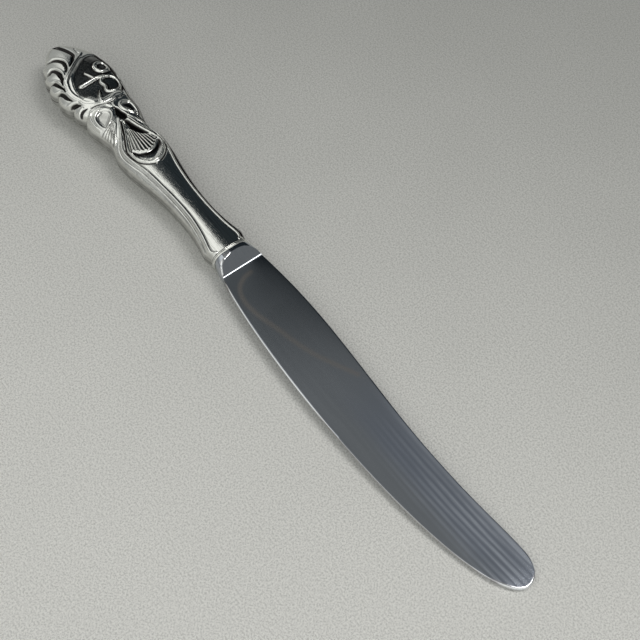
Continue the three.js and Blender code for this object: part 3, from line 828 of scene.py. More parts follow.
# %% [markdown]
# Last, all of it comes together. Heights and blackness take the strongest of what meets at a spot, the
# dished drops and the hub are sunk below the rest, and the relief fades out towards the seam.

# %% Gather the relief
# each drop is listed with how strong the painted shade inside its dish is
DROPS = ((RIGHT_DROP, 0.75), (LEFT_DROP, 0.4))
DROP_SINK, DROP_LINE_DARK = 0.35, 0.5
HUB_SINK, HUB_DARK, SEAM_FADE = 0.35, 0.95, 0.9


def relief(spots, base, inset):
    """Height above the crown and blackness, for spots at an inset from the outline."""
    dark = np.zeros(len(spots))
    low, high = field_relief(spots, base, dark)
    low = low + fan_relief(spots, dark)
    for points, closed, start, end, rise in RAISED:
        distance, along = nearest(spots, smooth_line(points, closed), 1.0)
        high = np.maximum(high, rise * rounded(distance, start + (end - start) * along))
    cut, crest, hook_dark = hook_relief(spots)
    high, dark = np.maximum(high, crest), np.maximum(dark, hook_dark)
    for points, start, end, depth, blackness in CUTS:
        distance, along = nearest(spots, smooth_line(points), 1.5)
        groove = rounded(distance, start + (end - start) * along)
        cut, dark = np.maximum(cut, depth * groove), np.maximum(dark, blackness * groove)
    for drop, dish_shade in DROPS:
        dish = depth_inside(spots, smooth_line(drop, True), 3.0)
        low = low - DROP_SINK * ease(dish / 1.3)
        dark = np.maximum(dark, DROP_LINE_DARK * ring(dish, 0.5, 0.3) * (dish > 0))
        # painted shade inside each dished drop
        dark = np.maximum(dark, dish_shade * ease((dish - 0.4) / 0.6))
    sunk = ease(depth_inside(spots, smooth_line(HUB, True), 2.0) / 0.35)
    low, high = low - HUB_SINK * sunk, high * (1 - sunk)
    dark = np.maximum(dark * ease(inset / 0.5), HUB_DARK * sunk)
    dark = np.maximum(dark, border_dark(spots, inset))
    return (low + high - cut) * ease(inset / SEAM_FADE), dark


print("drops to dish:", len(DROPS))

# %% [markdown]
# ## The front shell
# On the real handle each half is stamped from sheet silver and the two are soldered along the outline. A
# grid of ribs follows the plan of the handle: ribs square to the axis along the grip, then a fan round
# the nose, with the rows close together at the steep edge. Setting the vertices by formula keeps the
# relief sharp.

# %% Plan of the shell's ribs
RIBS_STRAIGHT, RIBS_FAN, ROWS, ROW_CROWDING = 424, 58, 84, 1.3
FAN_FOOT = -66.5

straight_x = np.linspace(0, FAN_FOOT, RIBS_STRAIGHT)
nose_width = np.interp(-straight_x, -nose_edge[:, 0], nose_edge[:, 1])
straight_w = np.where(straight_x > -HEAD, section(straight_x)[0], nose_width)
beyond_foot = nose_edge[nose_edge[:, 0] <= FAN_FOOT]
bearing = np.arctan2(beyond_foot[:, 1], beyond_foot[:, 0] - FAN_FOOT)
turns = np.linspace(math.pi / 2, math.pi, RIBS_FAN + 1)[1:]
round_nose = np.stack([np.interp(turns, bearing, beyond_foot[:, i]) for i in (0, 1)], 1)
round_nose[-1] = (-HEAD - NOSE, 0)
edges = np.concatenate([np.stack([straight_x, straight_w], 1), round_nose])
feet = np.zeros(edges.shape)
feet[:, 0] = np.concatenate([straight_x, np.full(RIBS_FAN, FAN_FOOT)])
print("ribs:", len(edges))

# %% Rows along the ribs
row_share = (np.arange(ROWS + 1) / ROWS) ** ROW_CROWDING
halves = []
for side in (1, -1):
    edge_side = edges * (1, side)
    halves.append(edge_side[:, None] + (feet - edge_side)[:, None] * row_share[None, :, None])
plan = np.concatenate([halves[0], halves[1][:, ROWS - 1::-1]], axis=1)
print("ribs and rows:", plan.shape[:2])

# %% Raise the ribs
SEAM_GAP = 0.05
spots = plan.reshape(-1, 2)
out, reach, travel, depth = measure(spots)
base = crown(out, reach, depth)
height, dark = relief(spots, base, reach - out)
pull = np.where(spots[:, 1] < 0, LOBE_DEPTH * lobe_valley(travel), 0) * np.clip(out / reach, 0, 1) ** 3
centre = np.stack([np.maximum(spots[:, 0], -HEAD), np.zeros(len(spots))], 1)
inward = (centre - spots) / np.maximum(out, 1e-6)[:, None]
shell_points = np.column_stack([spots + inward * pull[:, None], SEAM_GAP + np.maximum(base + height, 0)])
print("highest point of the relief:", round(float(shell_points[:, 2].max()), 2), "mm")


# %% Make the shell from a grid
def grid_piece(name, points, values):
    """A grid primitive with its vertices set to an array of points, and a value kept at each of them."""
    count_i, count_j = points.shape[:2]
    bpy.ops.object.select_all(action="DESELECT")
    bpy.ops.mesh.primitive_grid_add(x_subdivisions=count_j - 1, y_subdivisions=count_i - 1, size=1)
    piece = bpy.context.object
    piece.name = piece.data.name = name
    piece.data.vertices.foreach_set("co", points.reshape(-1))
    kept = piece.data.attributes.new("tarnish_and_painted_light", "FLOAT", "POINT")
    kept.data.foreach_set("value", values.reshape(-1).astype(np.float32))
    piece.data.update()
    return piece


def weld(piece, distance=1e-4):
    """Merges the vertices that share a place and turns all faces outwards."""
    bpy.context.view_layer.objects.active = piece
    bpy.ops.object.mode_set(mode="EDIT")
    bpy.ops.mesh.select_all(action="SELECT")
    bpy.ops.mesh.remove_doubles(threshold=distance)
    bpy.ops.mesh.normals_make_consistent(inside=False)
    bpy.ops.object.mode_set(mode="OBJECT")


front_shell = grid_piece("front_shell", shell_points.reshape(*plan.shape[:2], 3), dark)
weld(front_shell)
if sum(p.normal.z * p.area for p in front_shell.data.polygons) < 0:
    front_shell.data.flip_normals()
print("front shell faces:", len(front_shell.data.polygons))

# %% [markdown]
# The skin becomes sheet metal with Solidify. The inner wall is never seen, so most of its faces are
# merged away, which leaves them to the carving outside.

# %% Give it the thickness of the sheet
SHEET, INNER_SHARE, SHELL_SMOOTH = 0.55, 0.06, math.radians(50)


def triangles(piece):
    return sum(len(p.vertices) - 2 for p in piece.data.polygons)


wall = front_shell.modifiers.new("sheet", "SOLIDIFY")
wall.thickness = SHEET
wall.offset = -1
skin_faces = len(front_shell.data.polygons)
select_only(front_shell)
bpy.ops.object.modifier_apply(modifier=wall.name)
bpy.ops.object.mode_set(mode="EDIT")
bpy.ops.mesh.select_mode(type="FACE")
bpy.ops.mesh.select_all(action="DESELECT")
bpy.ops.object.mode_set(mode="OBJECT")
for face_index in range(skin_faces, 2 * skin_faces):
    front_shell.data.polygons[face_index].select = True
bpy.ops.object.mode_set(mode="EDIT")
bpy.ops.mesh.decimate(ratio=INNER_SHARE)
bpy.ops.object.mode_set(mode="OBJECT")
bpy.ops.object.shade_smooth_by_angle(angle=SHELL_SMOOTH)
print("front shell triangles:", triangles(front_shell))

# %% [markdown]
# ## The back shell
# The back half comes from the mirrored die. A copy is flipped through the seam, and because a mirror
# turns a mesh inside out, its faces are flipped back.

# %% Mirror the shell
back_shell = front_shell.copy()
back_shell.data = front_shell.data.copy()
back_shell.name = back_shell.data.name = "back_shell"
bpy.context.collection.objects.link(back_shell)
back_shell.data.transform(Matrix.Scale(-1, 4, (0, 0, 1)))
back_shell.data.flip_normals()
for shell in (front_shell, back_shell):
    lay_down(shell)
print("back shell lowest point:", round(1000 * min(v.co.z for v in back_shell.data.vertices), 3), "mm")

# %% [markdown]
# ## The mouth band
# A narrow silver plate closes the handle's mouth. Its edge shows as two bright beads with a dark line
# between them, which on the real one a roller presses. Here the section is drawn once as a closed loop,
# from the slot for the tang round the outside, as places along the axis and heights above the mouth's
# outline, and swept round.

# %% Band with two beads
BAND_TURNS, BAND_BACK, BAND_FRONT = 96, 0.1, 0.8
SLOT, SLOT_POWER, BAND_SMOOTH = -1.9, 4, math.radians(35)
BAND_SECTION = [
    (BAND_BACK, SLOT), (BAND_BACK, -0.5), (BAND_BACK, 0.02), (0.14, 0.09), (0.20, 0.13), (0.26, 0.11),
    (0.31, 0.05), (0.34, -0.02), (0.38, -0.02), (0.42, 0.06), (0.46, 0.12), (0.51, 0.14), (0.57, 0.12),
    (0.63, 0.07), (0.69, 0.01), (0.75, -0.07), (BAND_FRONT, -0.15), (BAND_FRONT, -0.5), (BAND_FRONT, SLOT),
]
GROOVE_BETWEEN, GROOVE_DARK = slice(7, 9), 0.9
_, MOUTH_HALF, MOUTH_DEPTH, _ = BENDS[0]


def squared_off(part, power):
    """A sine or cosine that runs round a rounded rectangle: a power of 2 is a circle."""
    return np.sign(part) * np.abs(part) ** (2 / power)


turn = np.linspace(0, 2 * math.pi, BAND_TURNS + 1)
band_rings = []
for x, proud in BAND_SECTION + BAND_SECTION[:1]:
    power = SLOT_POWER if proud == SLOT else CROWN_POWER
    across = (MOUTH_HALF + proud) * squared_off(np.cos(turn), power)
    up = (MOUTH_DEPTH + proud) * squared_off(np.sin(turn), power)
    band_rings.append(np.stack([np.full(turn.shape, x), across, up], 1))
band_dark = np.zeros((len(band_rings), len(turn)))
band_dark[GROOVE_BETWEEN] = GROOVE_DARK
mouth_band = grid_piece("mouth_band", np.array(band_rings), band_dark)
weld(mouth_band)
bpy.ops.object.shade_smooth_by_angle(angle=BAND_SMOOTH)
lay_down(mouth_band)
print("mouth band faces:", len(mouth_band.data.polygons))

# %% [markdown]
# ## The blade's outline
# The back of the blade rises to a crest, dips and rises again to a round tip; the cutting edge is one
# long belly. These are the CAD model's curves, drawn here with more points.

# %% Back, tip and edge of the blade
RIDGE, BLADE, TIP_RISE = 5.0, 91.2, 1.3
BACK_BENDS = [(0.0, 5.2, 1.0), (17.0, 6.05, 0.6), (59.0, 4.15, 1.0), (86.0, 5.25, 1.4)]
BELLY_AT, BELLY_DROP, BELLY_POWER = 42.0, 8.65, 2.15
ROOT_HALF, HEEL_POWER = 5.2, 0.8


def blade_back(x):
    from_ridge = x - RIDGE
    y = np.full(x.shape, BACK_BENDS[0][1])
    for (x0, y0, _), (x1, y1, swing) in zip(BACK_BENDS[:-1], BACK_BENDS[1:]):
        here = (from_ridge >= x0) & (from_ridge <= x1)
        u = ease(np.clip((from_ridge - x0) / (x1 - x0), 0, 1) ** swing)
        y = np.where(here, y0 + (y1 - y0) * u, y)
    last_x, last_y, _ = BACK_BENDS[-1]
    beyond = np.clip((from_ridge - last_x) / (BLADE - last_x), 0, 1)
    return np.where(beyond > 0, TIP_RISE + (last_y - TIP_RISE) * np.sqrt(1 - beyond ** 2), y)


def blade_edge(x):
    from_ridge = x - RIDGE
    heel_share = np.clip(from_ridge / BELLY_AT, 0, 1)
    heel = -(ROOT_HALF + (BELLY_DROP - ROOT_HALF) * np.sin(heel_share ** HEEL_POWER * math.pi / 2))
    belly_share = np.clip((from_ridge - BELLY_AT) / (BLADE - BELLY_AT), 0, 1)
    belly = TIP_RISE - (BELLY_DROP + TIP_RISE) * (1 - belly_share ** BELLY_POWER) ** (1 / BELLY_POWER)
    return np.where(from_ridge < BELLY_AT, heel, belly)


at_belly = np.array([RIDGE + BELLY_AT])
print("widest blade:", round(float((blade_back(at_belly) - blade_edge(at_belly))[0]), 2), "mm")

# %% [markdown]
# ## The blade's plate
# The blade is a forged plate, ground thinner towards its tip and its edge. Each section is a closed loop,
# over the top from back to edge and home underneath, and the loops are strung along the blade like the
# frames of a boat. First comes the plan of the loops, closer together towards the tip, and each point's
# distance from the back and from the edge.

# %% Plan of the blade's sections
BLADE_START, STATIONS, SECTION_POINTS, OUTLINE_POINTS = 5.24, 320, 41, 240
TIP_CROWDING, WHOLE_WIDTH = 1.7, 30
along_blade = 1 - (1 - np.linspace(0, 1, STATIONS)) ** TIP_CROWDING
station_x = BLADE_START + (RIDGE + BLADE - BLADE_START) * along_blade
across_blade = (1 - np.cos(np.linspace(0, math.pi, SECTION_POINTS))) / 2
back_y, edge_y = blade_back(station_x), blade_edge(station_x)
grid_x = np.repeat(station_x[:, None], SECTION_POINTS, 1)
grid_y = back_y[:, None] + (edge_y - back_y)[:, None] * across_blade[None, :]
plan_spots = np.stack([grid_x, grid_y], -1).reshape(-1, 2)
outline_x = RIDGE + BLADE * (1 - (1 - np.linspace(0, 1, OUTLINE_POINTS)) ** 2)


def distance_from(outline):
    """Distance of each point of the plan from the blade's back or edge."""
    line = np.stack([outline_x, outline(outline_x)], 1)
    return nearest(plan_spots, line, WHOLE_WIDTH)[0].reshape(grid_x.shape)


from_back, from_edge = distance_from(blade_back), distance_from(blade_edge)
print("blade sections:", grid_x.shape)

# %% [markdown]
# The grinder takes a shallow wedge off both faces, from the back to the edge. It runs out against the
# bolster and again before the tip, where the blade is thin already.

# %% Taper and wedge
FACE_ROOT, FACE_TIP = 1.1, 0.5
EDGE_HALF, EDGE_LESS, GRIND_RATE, GRIND_CURVE = 0.3, 0.15, 0.055, 1.2
HEEL_RUN_OUT, WEDGE_END, WEDGE_FADE = 2.5, 84, 10
face = FACE_ROOT + (FACE_TIP - FACE_ROOT) * (grid_x - RIDGE) / BLADE
heel_rise = np.exp((BLADE_START - grid_x) / HEEL_RUN_OUT)
ground = face - GRIND_RATE * (back_y - edge_y)[:, None]
wedge_edge = np.maximum(np.minimum(EDGE_HALF, face - EDGE_LESS), ground)
wedge_edge = wedge_edge + heel_rise * (face - wedge_edge)
towards_back = from_edge / np.maximum(from_edge + from_back, 1e-6)
wedge_share = (1 - ease((grid_x - WEDGE_END) / WEDGE_FADE)) * (1 - towards_back) ** GRIND_CURVE
from_wedge = face - wedge_share * (face - wedge_edge)
print("half thickness at the belly's edge:", round(float(from_wedge[STATIONS // 3, -1]), 2), "mm")

# %% [markdown]
# A narrow honed bevel follows the edge, a little wider at the heel, and wider and steeper past the belly.
# Round the tip a soft round takes over, and the back's corner is rounded too, as buffing leaves it.

# %% Honed edge, rounded back and tip
HONED, HONED_MORE, HONED_SLOPE, HONED_STEEPER = 0.1, 0.06, 0.5, 0.9
BACK_RADIUS, BACK_DROP, TIP_RADIUS, TIP_DROP = 0.2, 0.15, 0.4, 0.3
TIP_ROUND_START, TIP_ROUND_RUN = 89.5, 4.5


def quarter_round(distance, radius):
    """The fall of a rounded corner: 1 at the corner, 0 at its radius."""
    return 1 - np.sqrt(1 - (1 - np.clip(distance / radius, 0, 1)) ** 2)


past_belly = ease((grid_x - 42) / 14) * (1 - ease((grid_x - 82) / 8))
honed_width = HONED + HONED_MORE * np.maximum(1 - ease((grid_x - 36) / 16), past_belly)
honed_slope = HONED_SLOPE + HONED_STEEPER * past_belly
from_hone = from_wedge - (1 - heel_rise) * honed_slope * np.maximum(honed_width - from_edge, 0)
from_spine = face - BACK_DROP * quarter_round(from_back, BACK_RADIUS)
at_tip = ease((grid_x - TIP_ROUND_START) / TIP_ROUND_RUN)
from_rim = np.minimum(from_edge, from_back)
top_z = np.minimum(from_hone, from_spine) - TIP_DROP * at_tip * quarter_round(from_rim, TIP_RADIUS)
print("thickest and thinnest half:", round(float(top_z.max()), 2), round(float(top_z.min()), 2), "mm")

# %% [markdown]
# A faint brownish reflection that curls out from the bolster is painted on, and so are highlights on the
# honed edge and the tip's rim, which look brighter than the faces. Both are kept as one value at each
# vertex: up to a half is the painted reflection, above it the painted highlight.

# %% Painted brown reflection and edge highlight
BROWN_REFLECTION_HALF, BROWN_REFLECTION_VALUE = 0.6, 0.5
BROWN_REFLECTION_LINE = smooth_line([
    (7.2, 0.6), (7.6, -1.6), (9.2, -3.8), (12.6, -4.8), (17.0, -4.4), (22.0, -3.2), (31.0, -1.0),
    (41.0, 3.5),
])
from_brown_reflection = nearest(plan_spots, BROWN_REFLECTION_LINE, 3.0)[0].reshape(grid_x.shape)
# painted brown reflection along a curve from the bolster
brown_reflection = BROWN_REFLECTION_VALUE * np.exp(-(from_brown_reflection / BROWN_REFLECTION_HALF) ** 2)
# painted highlight on the honed edge and the tip's rim
edge_highlight = ease(1.6 * (1 - from_edge / (1.2 * honed_width)))
edge_highlight = edge_highlight * (1 - heel_rise) * (1 - 0.6 * ease((grid_x - 34) / 20))
rim_highlight = at_tip * ease((0.5 - from_rim) / 0.2) * (1 - ease((grid_y - 2.5) / 1.5))
painted_reflection_and_highlight = brown_reflection + (1 - brown_reflection) * np.maximum(edge_highlight, rim_highlight)
print("points on the bright edge:", int((painted_reflection_and_highlight > BROWN_REFLECTION_VALUE).sum()))

# %% String the sections together
SHARED_PLACE = 2e-3
top_points = np.stack([grid_x, grid_y, top_z], -1)
under_points = top_points[:, ::-1] * (1, 1, -1)
knife_blade = grid_piece(
    "knife_blade", np.concatenate([top_points, under_points, top_points[:, :1]], axis=1),
    np.concatenate([painted_reflection_and_highlight, painted_reflection_and_highlight[:, ::-1], painted_reflection_and_highlight[:, :1]], axis=1),
)
weld(knife_blade, SHARED_PLACE)
bpy.ops.object.mode_set(mode="EDIT")
bpy.ops.mesh.select_all(action="DESELECT")
bpy.ops.mesh.select_mode(type="EDGE")
bpy.ops.mesh.select_non_manifold()
bpy.ops.mesh.edge_face_add()
bpy.ops.mesh.select_all(action="SELECT")
bpy.ops.mesh.normals_make_consistent(inside=False)
bpy.ops.object.mode_set(mode="OBJECT")
print("blade faces:", len(knife_blade.data.polygons))

# %% [markdown]
# ## The bolster
# Where the blade meets the handle it swells into a bolster, ground off above and below to a sloping facet
# shaped like a D. By hand that is a rounded block cut twice with a plane, and Bisect does exactly this
# cut. The block starts as a cylinder along the axis, cut into rings that are then widened towards the
# blade. It ends where a small fillet between facet and blade begins.

# %% Measure the fillet
FACET_LENGTH, FILLET, LAST_TURN = 3.35, 0.22, 0.09
BLOCK_DEPTH = 3.3
slope = (BLOCK_DEPTH - FACE_ROOT) / FACET_LENGTH
facet_turn = math.atan(slope)
arc_run = math.sin(facet_turn) - math.sin(LAST_TURN)
arc_climb = math.cos(LAST_TURN) - math.cos(facet_turn)
fillet_radius = FILLET * slope / (slope * arc_run - arc_climb)


def fillet(turned):
    """Place and height on the fillet, where its surface is turned by an angle."""
    place = RIDGE + FILLET - fillet_radius * (math.sin(turned) - math.sin(LAST_TURN))
    return place, FACE_ROOT + fillet_radius * (math.cos(LAST_TURN) - math.cos(turned))


block_front = fillet(facet_turn)[0]
print("fillet radius:", round(fillet_radius, 2), "mm")

# %% A rounded block
BLOCK_BACK, BLOCK_BACK_HALF, BLOCK_POWER, BLOCK_SIDES = 0.9, 4.45, 3.0, 128
SWELL = {-0.5: 0.0, -0.25: 0.4, 0.0: 0.7, 0.25: 0.88, 0.5: 1.0}
bpy.ops.object.select_all(action="DESELECT")
bpy.ops.mesh.primitive_cylinder_add(
    vertices=BLOCK_SIDES, radius=1, depth=1, end_fill_type="NGON", rotation=(0, math.pi / 2, 0)
)
bolster = bpy.context.object
bolster.name = bolster.data.name = "bolster"
bpy.ops.object.transform_apply(rotation=True)
bpy.ops.object.mode_set(mode="EDIT")
for ring_place in list(SWELL)[1:-1]:
    bpy.ops.mesh.select_all(action="SELECT")
    bpy.ops.mesh.bisect(plane_co=(ring_place, 0, 0), plane_no=(1, 0, 0))
bpy.ops.object.mode_set(mode="OBJECT")
for vertex in bolster.data.vertices:
    x, y, z = vertex.co
    half = BLOCK_BACK_HALF + (ROOT_HALF - BLOCK_BACK_HALF) * SWELL[round(x, 2)]
    angle = math.atan2(z, y)
    vertex.co = (
        BLOCK_BACK + (block_front - BLOCK_BACK) * (x + 0.5),
        half * float(squared_off(np.cos(angle), BLOCK_POWER)),
        BLOCK_DEPTH * float(squared_off(np.sin(angle), BLOCK_POWER)),
    )
print("block from x", BLOCK_BACK, "to", round(block_front, 2), "mm")

# %% Cut the two facets
SHORT_EDGE = 0.06
bpy.ops.object.mode_set(mode="EDIT")
for side in (1, -1):
    bpy.ops.mesh.select_all(action="SELECT")
    bpy.ops.mesh.bisect(
        plane_co=(RIDGE, 0, side * FACE_ROOT), plane_no=(slope, 0, side), use_fill=True, clear_outer=True
    )
bpy.ops.mesh.select_all(action="SELECT")
bpy.ops.mesh.remove_doubles(threshold=SHORT_EDGE)
bpy.ops.object.mode_set(mode="OBJECT")


def pick_faces(piece, test):
    """Selects the faces of a piece that pass a test, and leaves it in edit mode."""
    bpy.context.view_layer.objects.active = piece
    bpy.ops.object.mode_set(mode="EDIT")
    bpy.ops.mesh.select_mode(type="FACE")
    bpy.ops.mesh.select_all(action="DESELECT")
    mesh = bmesh.from_edit_mesh(piece.data)
    chosen = [face for face in mesh.faces if test(face)]
    for face in chosen:
        face.select = True
    mesh.select_flush_mode()
    bmesh.update_edit_mesh(piece.data)
    return len(chosen)


def is_facet(face):
    """A large sloping face that doesn't lean to either side."""
    leans = abs(face.normal.x) > 0.3 and abs(face.normal.z) > 0.6 and abs(face.normal.y) < 0.02
    return leans and face.calc_area() > 4


print("facets cut:", pick_faces(bolster, is_facet))

# %% [markdown]
# The root of the blade is drawn out of the block's front face in short extrusions, each a little lower
# than the one before, so that they round the corner between facet and blade.

# %% Draw out the root of the blade
FILLET_STEPS, STUB = 10, 0.1
print("front faces:", pick_faces(bolster, lambda face: face.normal.x > 0.99))
place, rise = fillet(facet_turn)
for turned in np.linspace(facet_turn, LAST_TURN, FILLET_STEPS + 1)[1:]:
    next_place, next_rise = fillet(turned)
    bpy.ops.mesh.extrude_region_move(TRANSFORM_OT_translate={"value": (next_place - place, 0, 0)})
    bpy.ops.transform.resize(value=(1, 1, next_rise / rise), center_override=(next_place, 0, 0))
    place, rise = next_place, next_rise
bpy.ops.mesh.extrude_region_move(TRANSFORM_OT_translate={"value": (STUB, 0, 0)})
bpy.ops.object.mode_set(mode="OBJECT")
print("fillet ends at x", round(place, 2), "and z", round(rise, 2), "mm")

# %% [markdown]
# Use has broken the facets' sharp arris on the side of the cutting edge, and a painted highlight draws the
# bright line along it. A bevel would round the whole outline, so the facet is inset and only the outline's
# points on that side are pushed down a little. They also keep a high value, which the steel paints as a
# highlight.

# %% Break the arris on the side of the cutting edge
ARRIS, ARRIS_DROP, SUPPORT, ON_OUTLINE = 0.3, 0.13, 0.04, 0.93


def out_in_block(x, y, z):
    """How far out a point lies in the block: 1 on its side."""
    ring_place = (x - BLOCK_BACK) / (block_front - BLOCK_BACK) - 0.5
    swell = np.interp(ring_place, list(SWELL), list(SWELL.values()))
    half = BLOCK_BACK_HALF + (ROOT_HALF - BLOCK_BACK_HALF) * swell
    return (abs(y) / half) ** BLOCK_POWER + (abs(z) / BLOCK_DEPTH) ** BLOCK_POWER


pick_faces(bolster, is_facet)
bpy.ops.mesh.inset(thickness=ARRIS)
bpy.ops.object.mode_set(mode="OBJECT")
arris_highlight = bolster.data.attributes.new("tarnish_and_painted_light", "FLOAT", "POINT")
for vertex in bolster.data.vertices:
    x, y, z = vertex.co
    under_facet = FACE_ROOT + slope * (RIDGE - x) - abs(z)
    if abs(under_facet) < SHORT_EDGE / 2 and x < block_front - 0.05:
        # the wear sets both how far the arris is worn down and the painted highlight on it
        wear_and_highlight = float(ease((-y - 0.5) / 1.5))
        arris_highlight.data[vertex.index].value = wear_and_highlight
        if out_in_block(x, y, z) > ON_OUTLINE:
            vertex.co += ARRIS_DROP * wear_and_highlight * Vector((-slope, 0, -math.copysign(1, z))).normalized()
print("worn points on the arris:", sum(point.value > 0 for point in arris_highlight.data))


# %% Frame the facets, so that the wear and its painted highlight stay at their rim
def chosen_corners(mesh):
    """The vertices of the selected faces."""
    return {vertex for face in mesh.faces if face.select for vertex in face.verts}


print("facets to frame:", pick_faces(bolster, is_facet))
bpy.ops.mesh.inset(thickness=SUPPORT)
block_mesh = bmesh.from_edit_mesh(bolster.data)
for vertex in chosen_corners(block_mesh):
    vertex[block_mesh.verts.layers.float["tarnish_and_painted_light"]] = 0
bmesh.update_edit_mesh(bolster.data)
bpy.ops.object.mode_set(mode="OBJECT")

# %% [markdown]
# ## The tang
# Behind the bolster a square tang runs into the handle, where the cement holds it. It stays out of sight,
# so an inset of the block's back face and one extrusion are enough.

# %% Extrude the tang
TANG_LENGTH, TANG_HALF, TANG_DEPTH, TANG_POWER, TANG_TAPER = 45.0, 1.7, 1.0, 6, 0.6
BACK_INSET = 1.8
print("back faces:", pick_faces(bolster, lambda face: face.normal.x < -0.99))
bpy.ops.mesh.inset(thickness=BACK_INSET, depth=0)
block_mesh = bmesh.from_edit_mesh(bolster.data)
for vertex in chosen_corners(block_mesh):
    angle = math.atan2(vertex.co.z, vertex.co.y)
    vertex.co.y = TANG_HALF * float(squared_off(np.cos(angle), TANG_POWER))
    vertex.co.z = TANG_DEPTH * float(squared_off(np.sin(angle), TANG_POWER))
bmesh.update_edit_mesh(bolster.data)
bpy.ops.mesh.extrude_region_move(TRANSFORM_OT_translate={"value": (-TANG_LENGTH - BLOCK_BACK, 0, 0)})
bpy.ops.transform.resize(value=(1, TANG_TAPER, TANG_TAPER), center_override=(-TANG_LENGTH, 0, 0))
bpy.ops.object.mode_set(mode="OBJECT")

# %% Join blade, bolster and tang
BLADE_SMOOTH = math.radians(28)
select_only(knife_blade)
bolster.select_set(True)
bpy.ops.object.join()
bpy.ops.object.shade_smooth_by_angle(angle=BLADE_SMOOTH)
lay_down(knife_blade)
print("blade triangles:", triangles(knife_blade))

# %% [markdown]
# ## Silver
# Polished silver is a nearly white mirror. What makes it look old is the black left in the grooves, fine
# scratches from years of cleaning, and duller streaks along the grip where hands and cloth have rubbed it.
# The value kept at each vertex says where the grooves are, and where shade is painted along the left seam,
# in the fan's bowl and in the drops, so the black follows the carving and not a projection.

# %% Silver finish
SILVER, SILVER_WARM = (0.85, 0.855, 0.825, 1), (0.79, 0.795, 0.755, 1)
SILVER_RUBBED, SILVER_BLACK = (0.42, 0.42, 0.40, 1), (0.035, 0.033, 0.032, 1)
BLACK_STEP, BLACK_UNEVEN = (0.12, 0.85), 0.35
STREAK_STEP, STREAK_SHARE, STREAK_START = (0.46, 0.64), 0.5, (-58.0, -50.0)
silver, finish = new_finish("polished_silver")
patch = finish.noise((0.5, 0.5, 0.5), 3.0)
scratch = finish.noise((0.35, 7.0, 3.0), 4.0, 0.65)
streak = finish.noise((0.12, 3.4, 3.4), 4.0, 0.7)
black = finish.between(finish.kept_value() + BLACK_UNEVEN * (patch - 0.5), *BLACK_STEP)
on_grip = finish.between(finish.part(finish.place(), 0), *STREAK_START)
rubbed = STREAK_SHARE * (finish.between(streak, *STREAK_STEP) * on_grip)
silver_colour = finish.colours(rubbed, finish.colours(patch, SILVER, SILVER_WARM), SILVER_RUBBED)
finish.surface({
    "Base Color": finish.colours(black, silver_colour, SILVER_BLACK), "Metallic": 1.0,
    "Roughness": 0.06 + 0.08 * scratch + 0.1 * black, "Normal": finish.bump(scratch, 0.22, 0.08),
})
for piece in (front_shell, back_shell, mouth_band):
    dress(piece, silver)
print("silver nodes:", len(silver.node_tree.nodes))

# %% [markdown]
# ## Steel
# The blade is stainless steel with a fine lengthwise polish. Stretched noise gives the polish lines.
# Towards the tip bright reflections are painted in rows that follow the bow of the back, so a sine across
# the blade draws them, bent along with it, and noise gathers them into uneven bundles.

# %% Polish lines and painted reflections in rows
DIP_AT, BACK_BOW = 53.0, 0.0013
ROW_RATE, ROW_WANDER = 5.1, 2.6
ROW_REFLECTION_STEPS = ((0.55, 36.0, 62.0), (0.5, 62.0, 84.0), (0.6, 72.0, 82.0))
ROW_REFLECTION_ACROSS, BUNDLE_STEP = (-7.0, 0.0), (0.3, 0.7)
steel, finish = new_finish("blade_steel")
fine = finish.noise((0.12, 9.0, 9.0), 4.0, 0.6)
bands = finish.noise((0.05, 0.85, 0.3), 2.0)
bundles = finish.noise((0.05, 0.4, 0.4), 2.0)
along_steel, across_steel = [finish.part(finish.place(), axis) for axis in (0, 1)]
from_dip = along_steel - DIP_AT
on_bow = across_steel - BACK_BOW * from_dip * from_dip
ripple = finish.add("ShaderNodeMath", {"operation": "SINE"}, {0: ROW_RATE * on_bow + ROW_WANDER * bands})
row_reflection_reach = sum(share * finish.between(along_steel, low, high) for share, low, high in ROW_REFLECTION_STEPS)
row_reflection_pattern = (0.5 + 0.5 * ripple) * finish.between(across_steel, *ROW_REFLECTION_ACROSS)
uneven = (0.3 + 1.2 * finish.between(bundles, *BUNDLE_STEP)) * (0.3 + 1.4 * fine)
# painted reflections in rows towards the tip
row_reflections = row_reflection_reach * row_reflection_pattern * uneven
print("nodes for the wheel rows:", len(steel.node_tree.nodes))

# %% [markdown]
# The steel's colour is built up in layers: bands of plain steel, a cooler middle, a painted shade on the
# heel beside the bolster, painted reflections in rows and a painted highlight along the back, the painted
# brown reflection, and last the painted highlight on the edge.

# %% Steel finish
STEEL_A, STEEL_B, STEEL_COOL = (0.44, 0.47, 0.515, 1), (0.52, 0.545, 0.585, 1), (0.41, 0.455, 0.56, 1)
STEEL_HEEL_SHADE, STEEL_SHEEN = (0.24, 0.265, 0.29, 1), (0.82, 0.87, 0.98, 1)
STEEL_BROWN_REFLECTION, STEEL_HIGHLIGHT = (0.70, 0.58, 0.48, 1), (0.86, 0.88, 0.90, 1)
sweep = finish.noise((0.03, 0.12, 0.1), 2.0)
cool = finish.between(along_steel, 24.0, 50.0) * finish.between(across_steel, -5.0, -1.0)
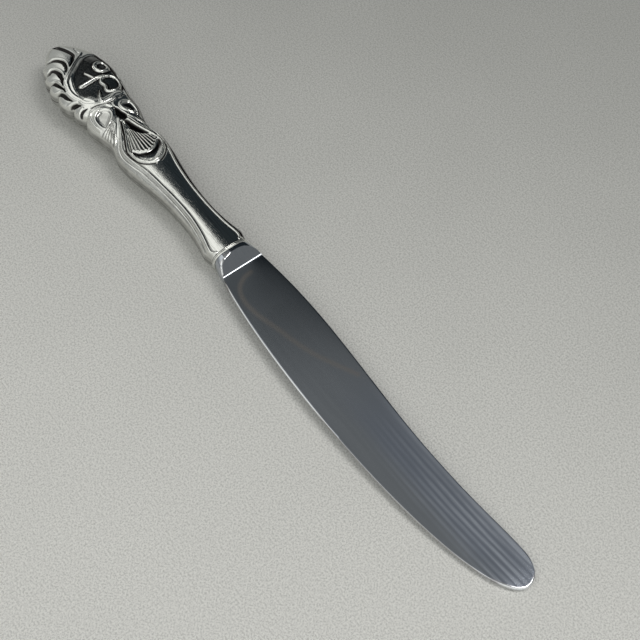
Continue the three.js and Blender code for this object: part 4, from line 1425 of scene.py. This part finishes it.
# painted shade on the heel of the blade beside the bolster
heel = (1 - finish.between(along_steel, -2.0, 30.0)) * finish.between(along_steel, -6.4, -5.4)
# painted highlight in a strip along the back
back_highlight = finish.between(on_bow, 2.4, 4.2) * finish.between(along_steel, 30.0, 50.0)
painted_light_value = finish.kept_value()
steel_colour = finish.colours(bands, STEEL_A, STEEL_B)
# the heel shade, the rows, the back strip, the brown curve and the edge are painted light and shade
for share, layer in (
    (0.8 * cool, STEEL_COOL), (0.85 * heel, STEEL_HEEL_SHADE),
    (row_reflections + back_highlight * (0.15 + 0.75 * fine), STEEL_SHEEN),
    (0.3 * finish.between(painted_light_value, 0.0, 0.5), STEEL_BROWN_REFLECTION), (finish.between(painted_light_value, 0.55, 0.85), STEEL_HIGHLIGHT),
):
    steel_colour = finish.colours(share, steel_colour, layer)
finish.surface({
    "Base Color": steel_colour, "Metallic": 1.0, "Normal": finish.bump(fine, 0.06, 0.05),
    "Roughness": 0.08 + 0.03 * bands + 0.03 * fine + 0.03 * sweep,
})
dress(knife_blade, steel)
print("steel nodes:", len(steel.node_tree.nodes))

# %% [markdown]
# ## Cement
# The filler inside the handle never shows, but it is part of the knife, so the CAD piece stays and gets a
# rough, mottled finish of its own.

# %% Cement finish
CEMENT_DARK, CEMENT_PALE = (0.11, 0.085, 0.065, 1), (0.20, 0.165, 0.13, 1)
cement, finish = new_finish("handle_cement")
grit = finish.noise((1.6, 1.6, 1.6), 4.0, 0.7)
finish.surface({
    "Base Color": finish.colours(grit, CEMENT_DARK, CEMENT_PALE),
    "Roughness": 0.75 + 0.2 * grit, "Normal": finish.bump(grit, 0.4, 0.2),
})
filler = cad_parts["cement_filler"]
dress(filler, cement)
print("cement on", filler.name)

# %% [markdown]
# ## The pieces and their frame
# Each piece says which CAD solid it stands for, which is hidden, and which body it moves with.

# %% Tie the pieces to the frame
for piece, node, finish_slot in (
    (front_shell, "handle_front_shell", "silver"), (back_shell, "handle_back_shell", "silver"),
    (mouth_band, "mouth_cap", "silver"), (knife_blade, "blade", "stainless"),
):
    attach(piece, "root")
    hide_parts(node)
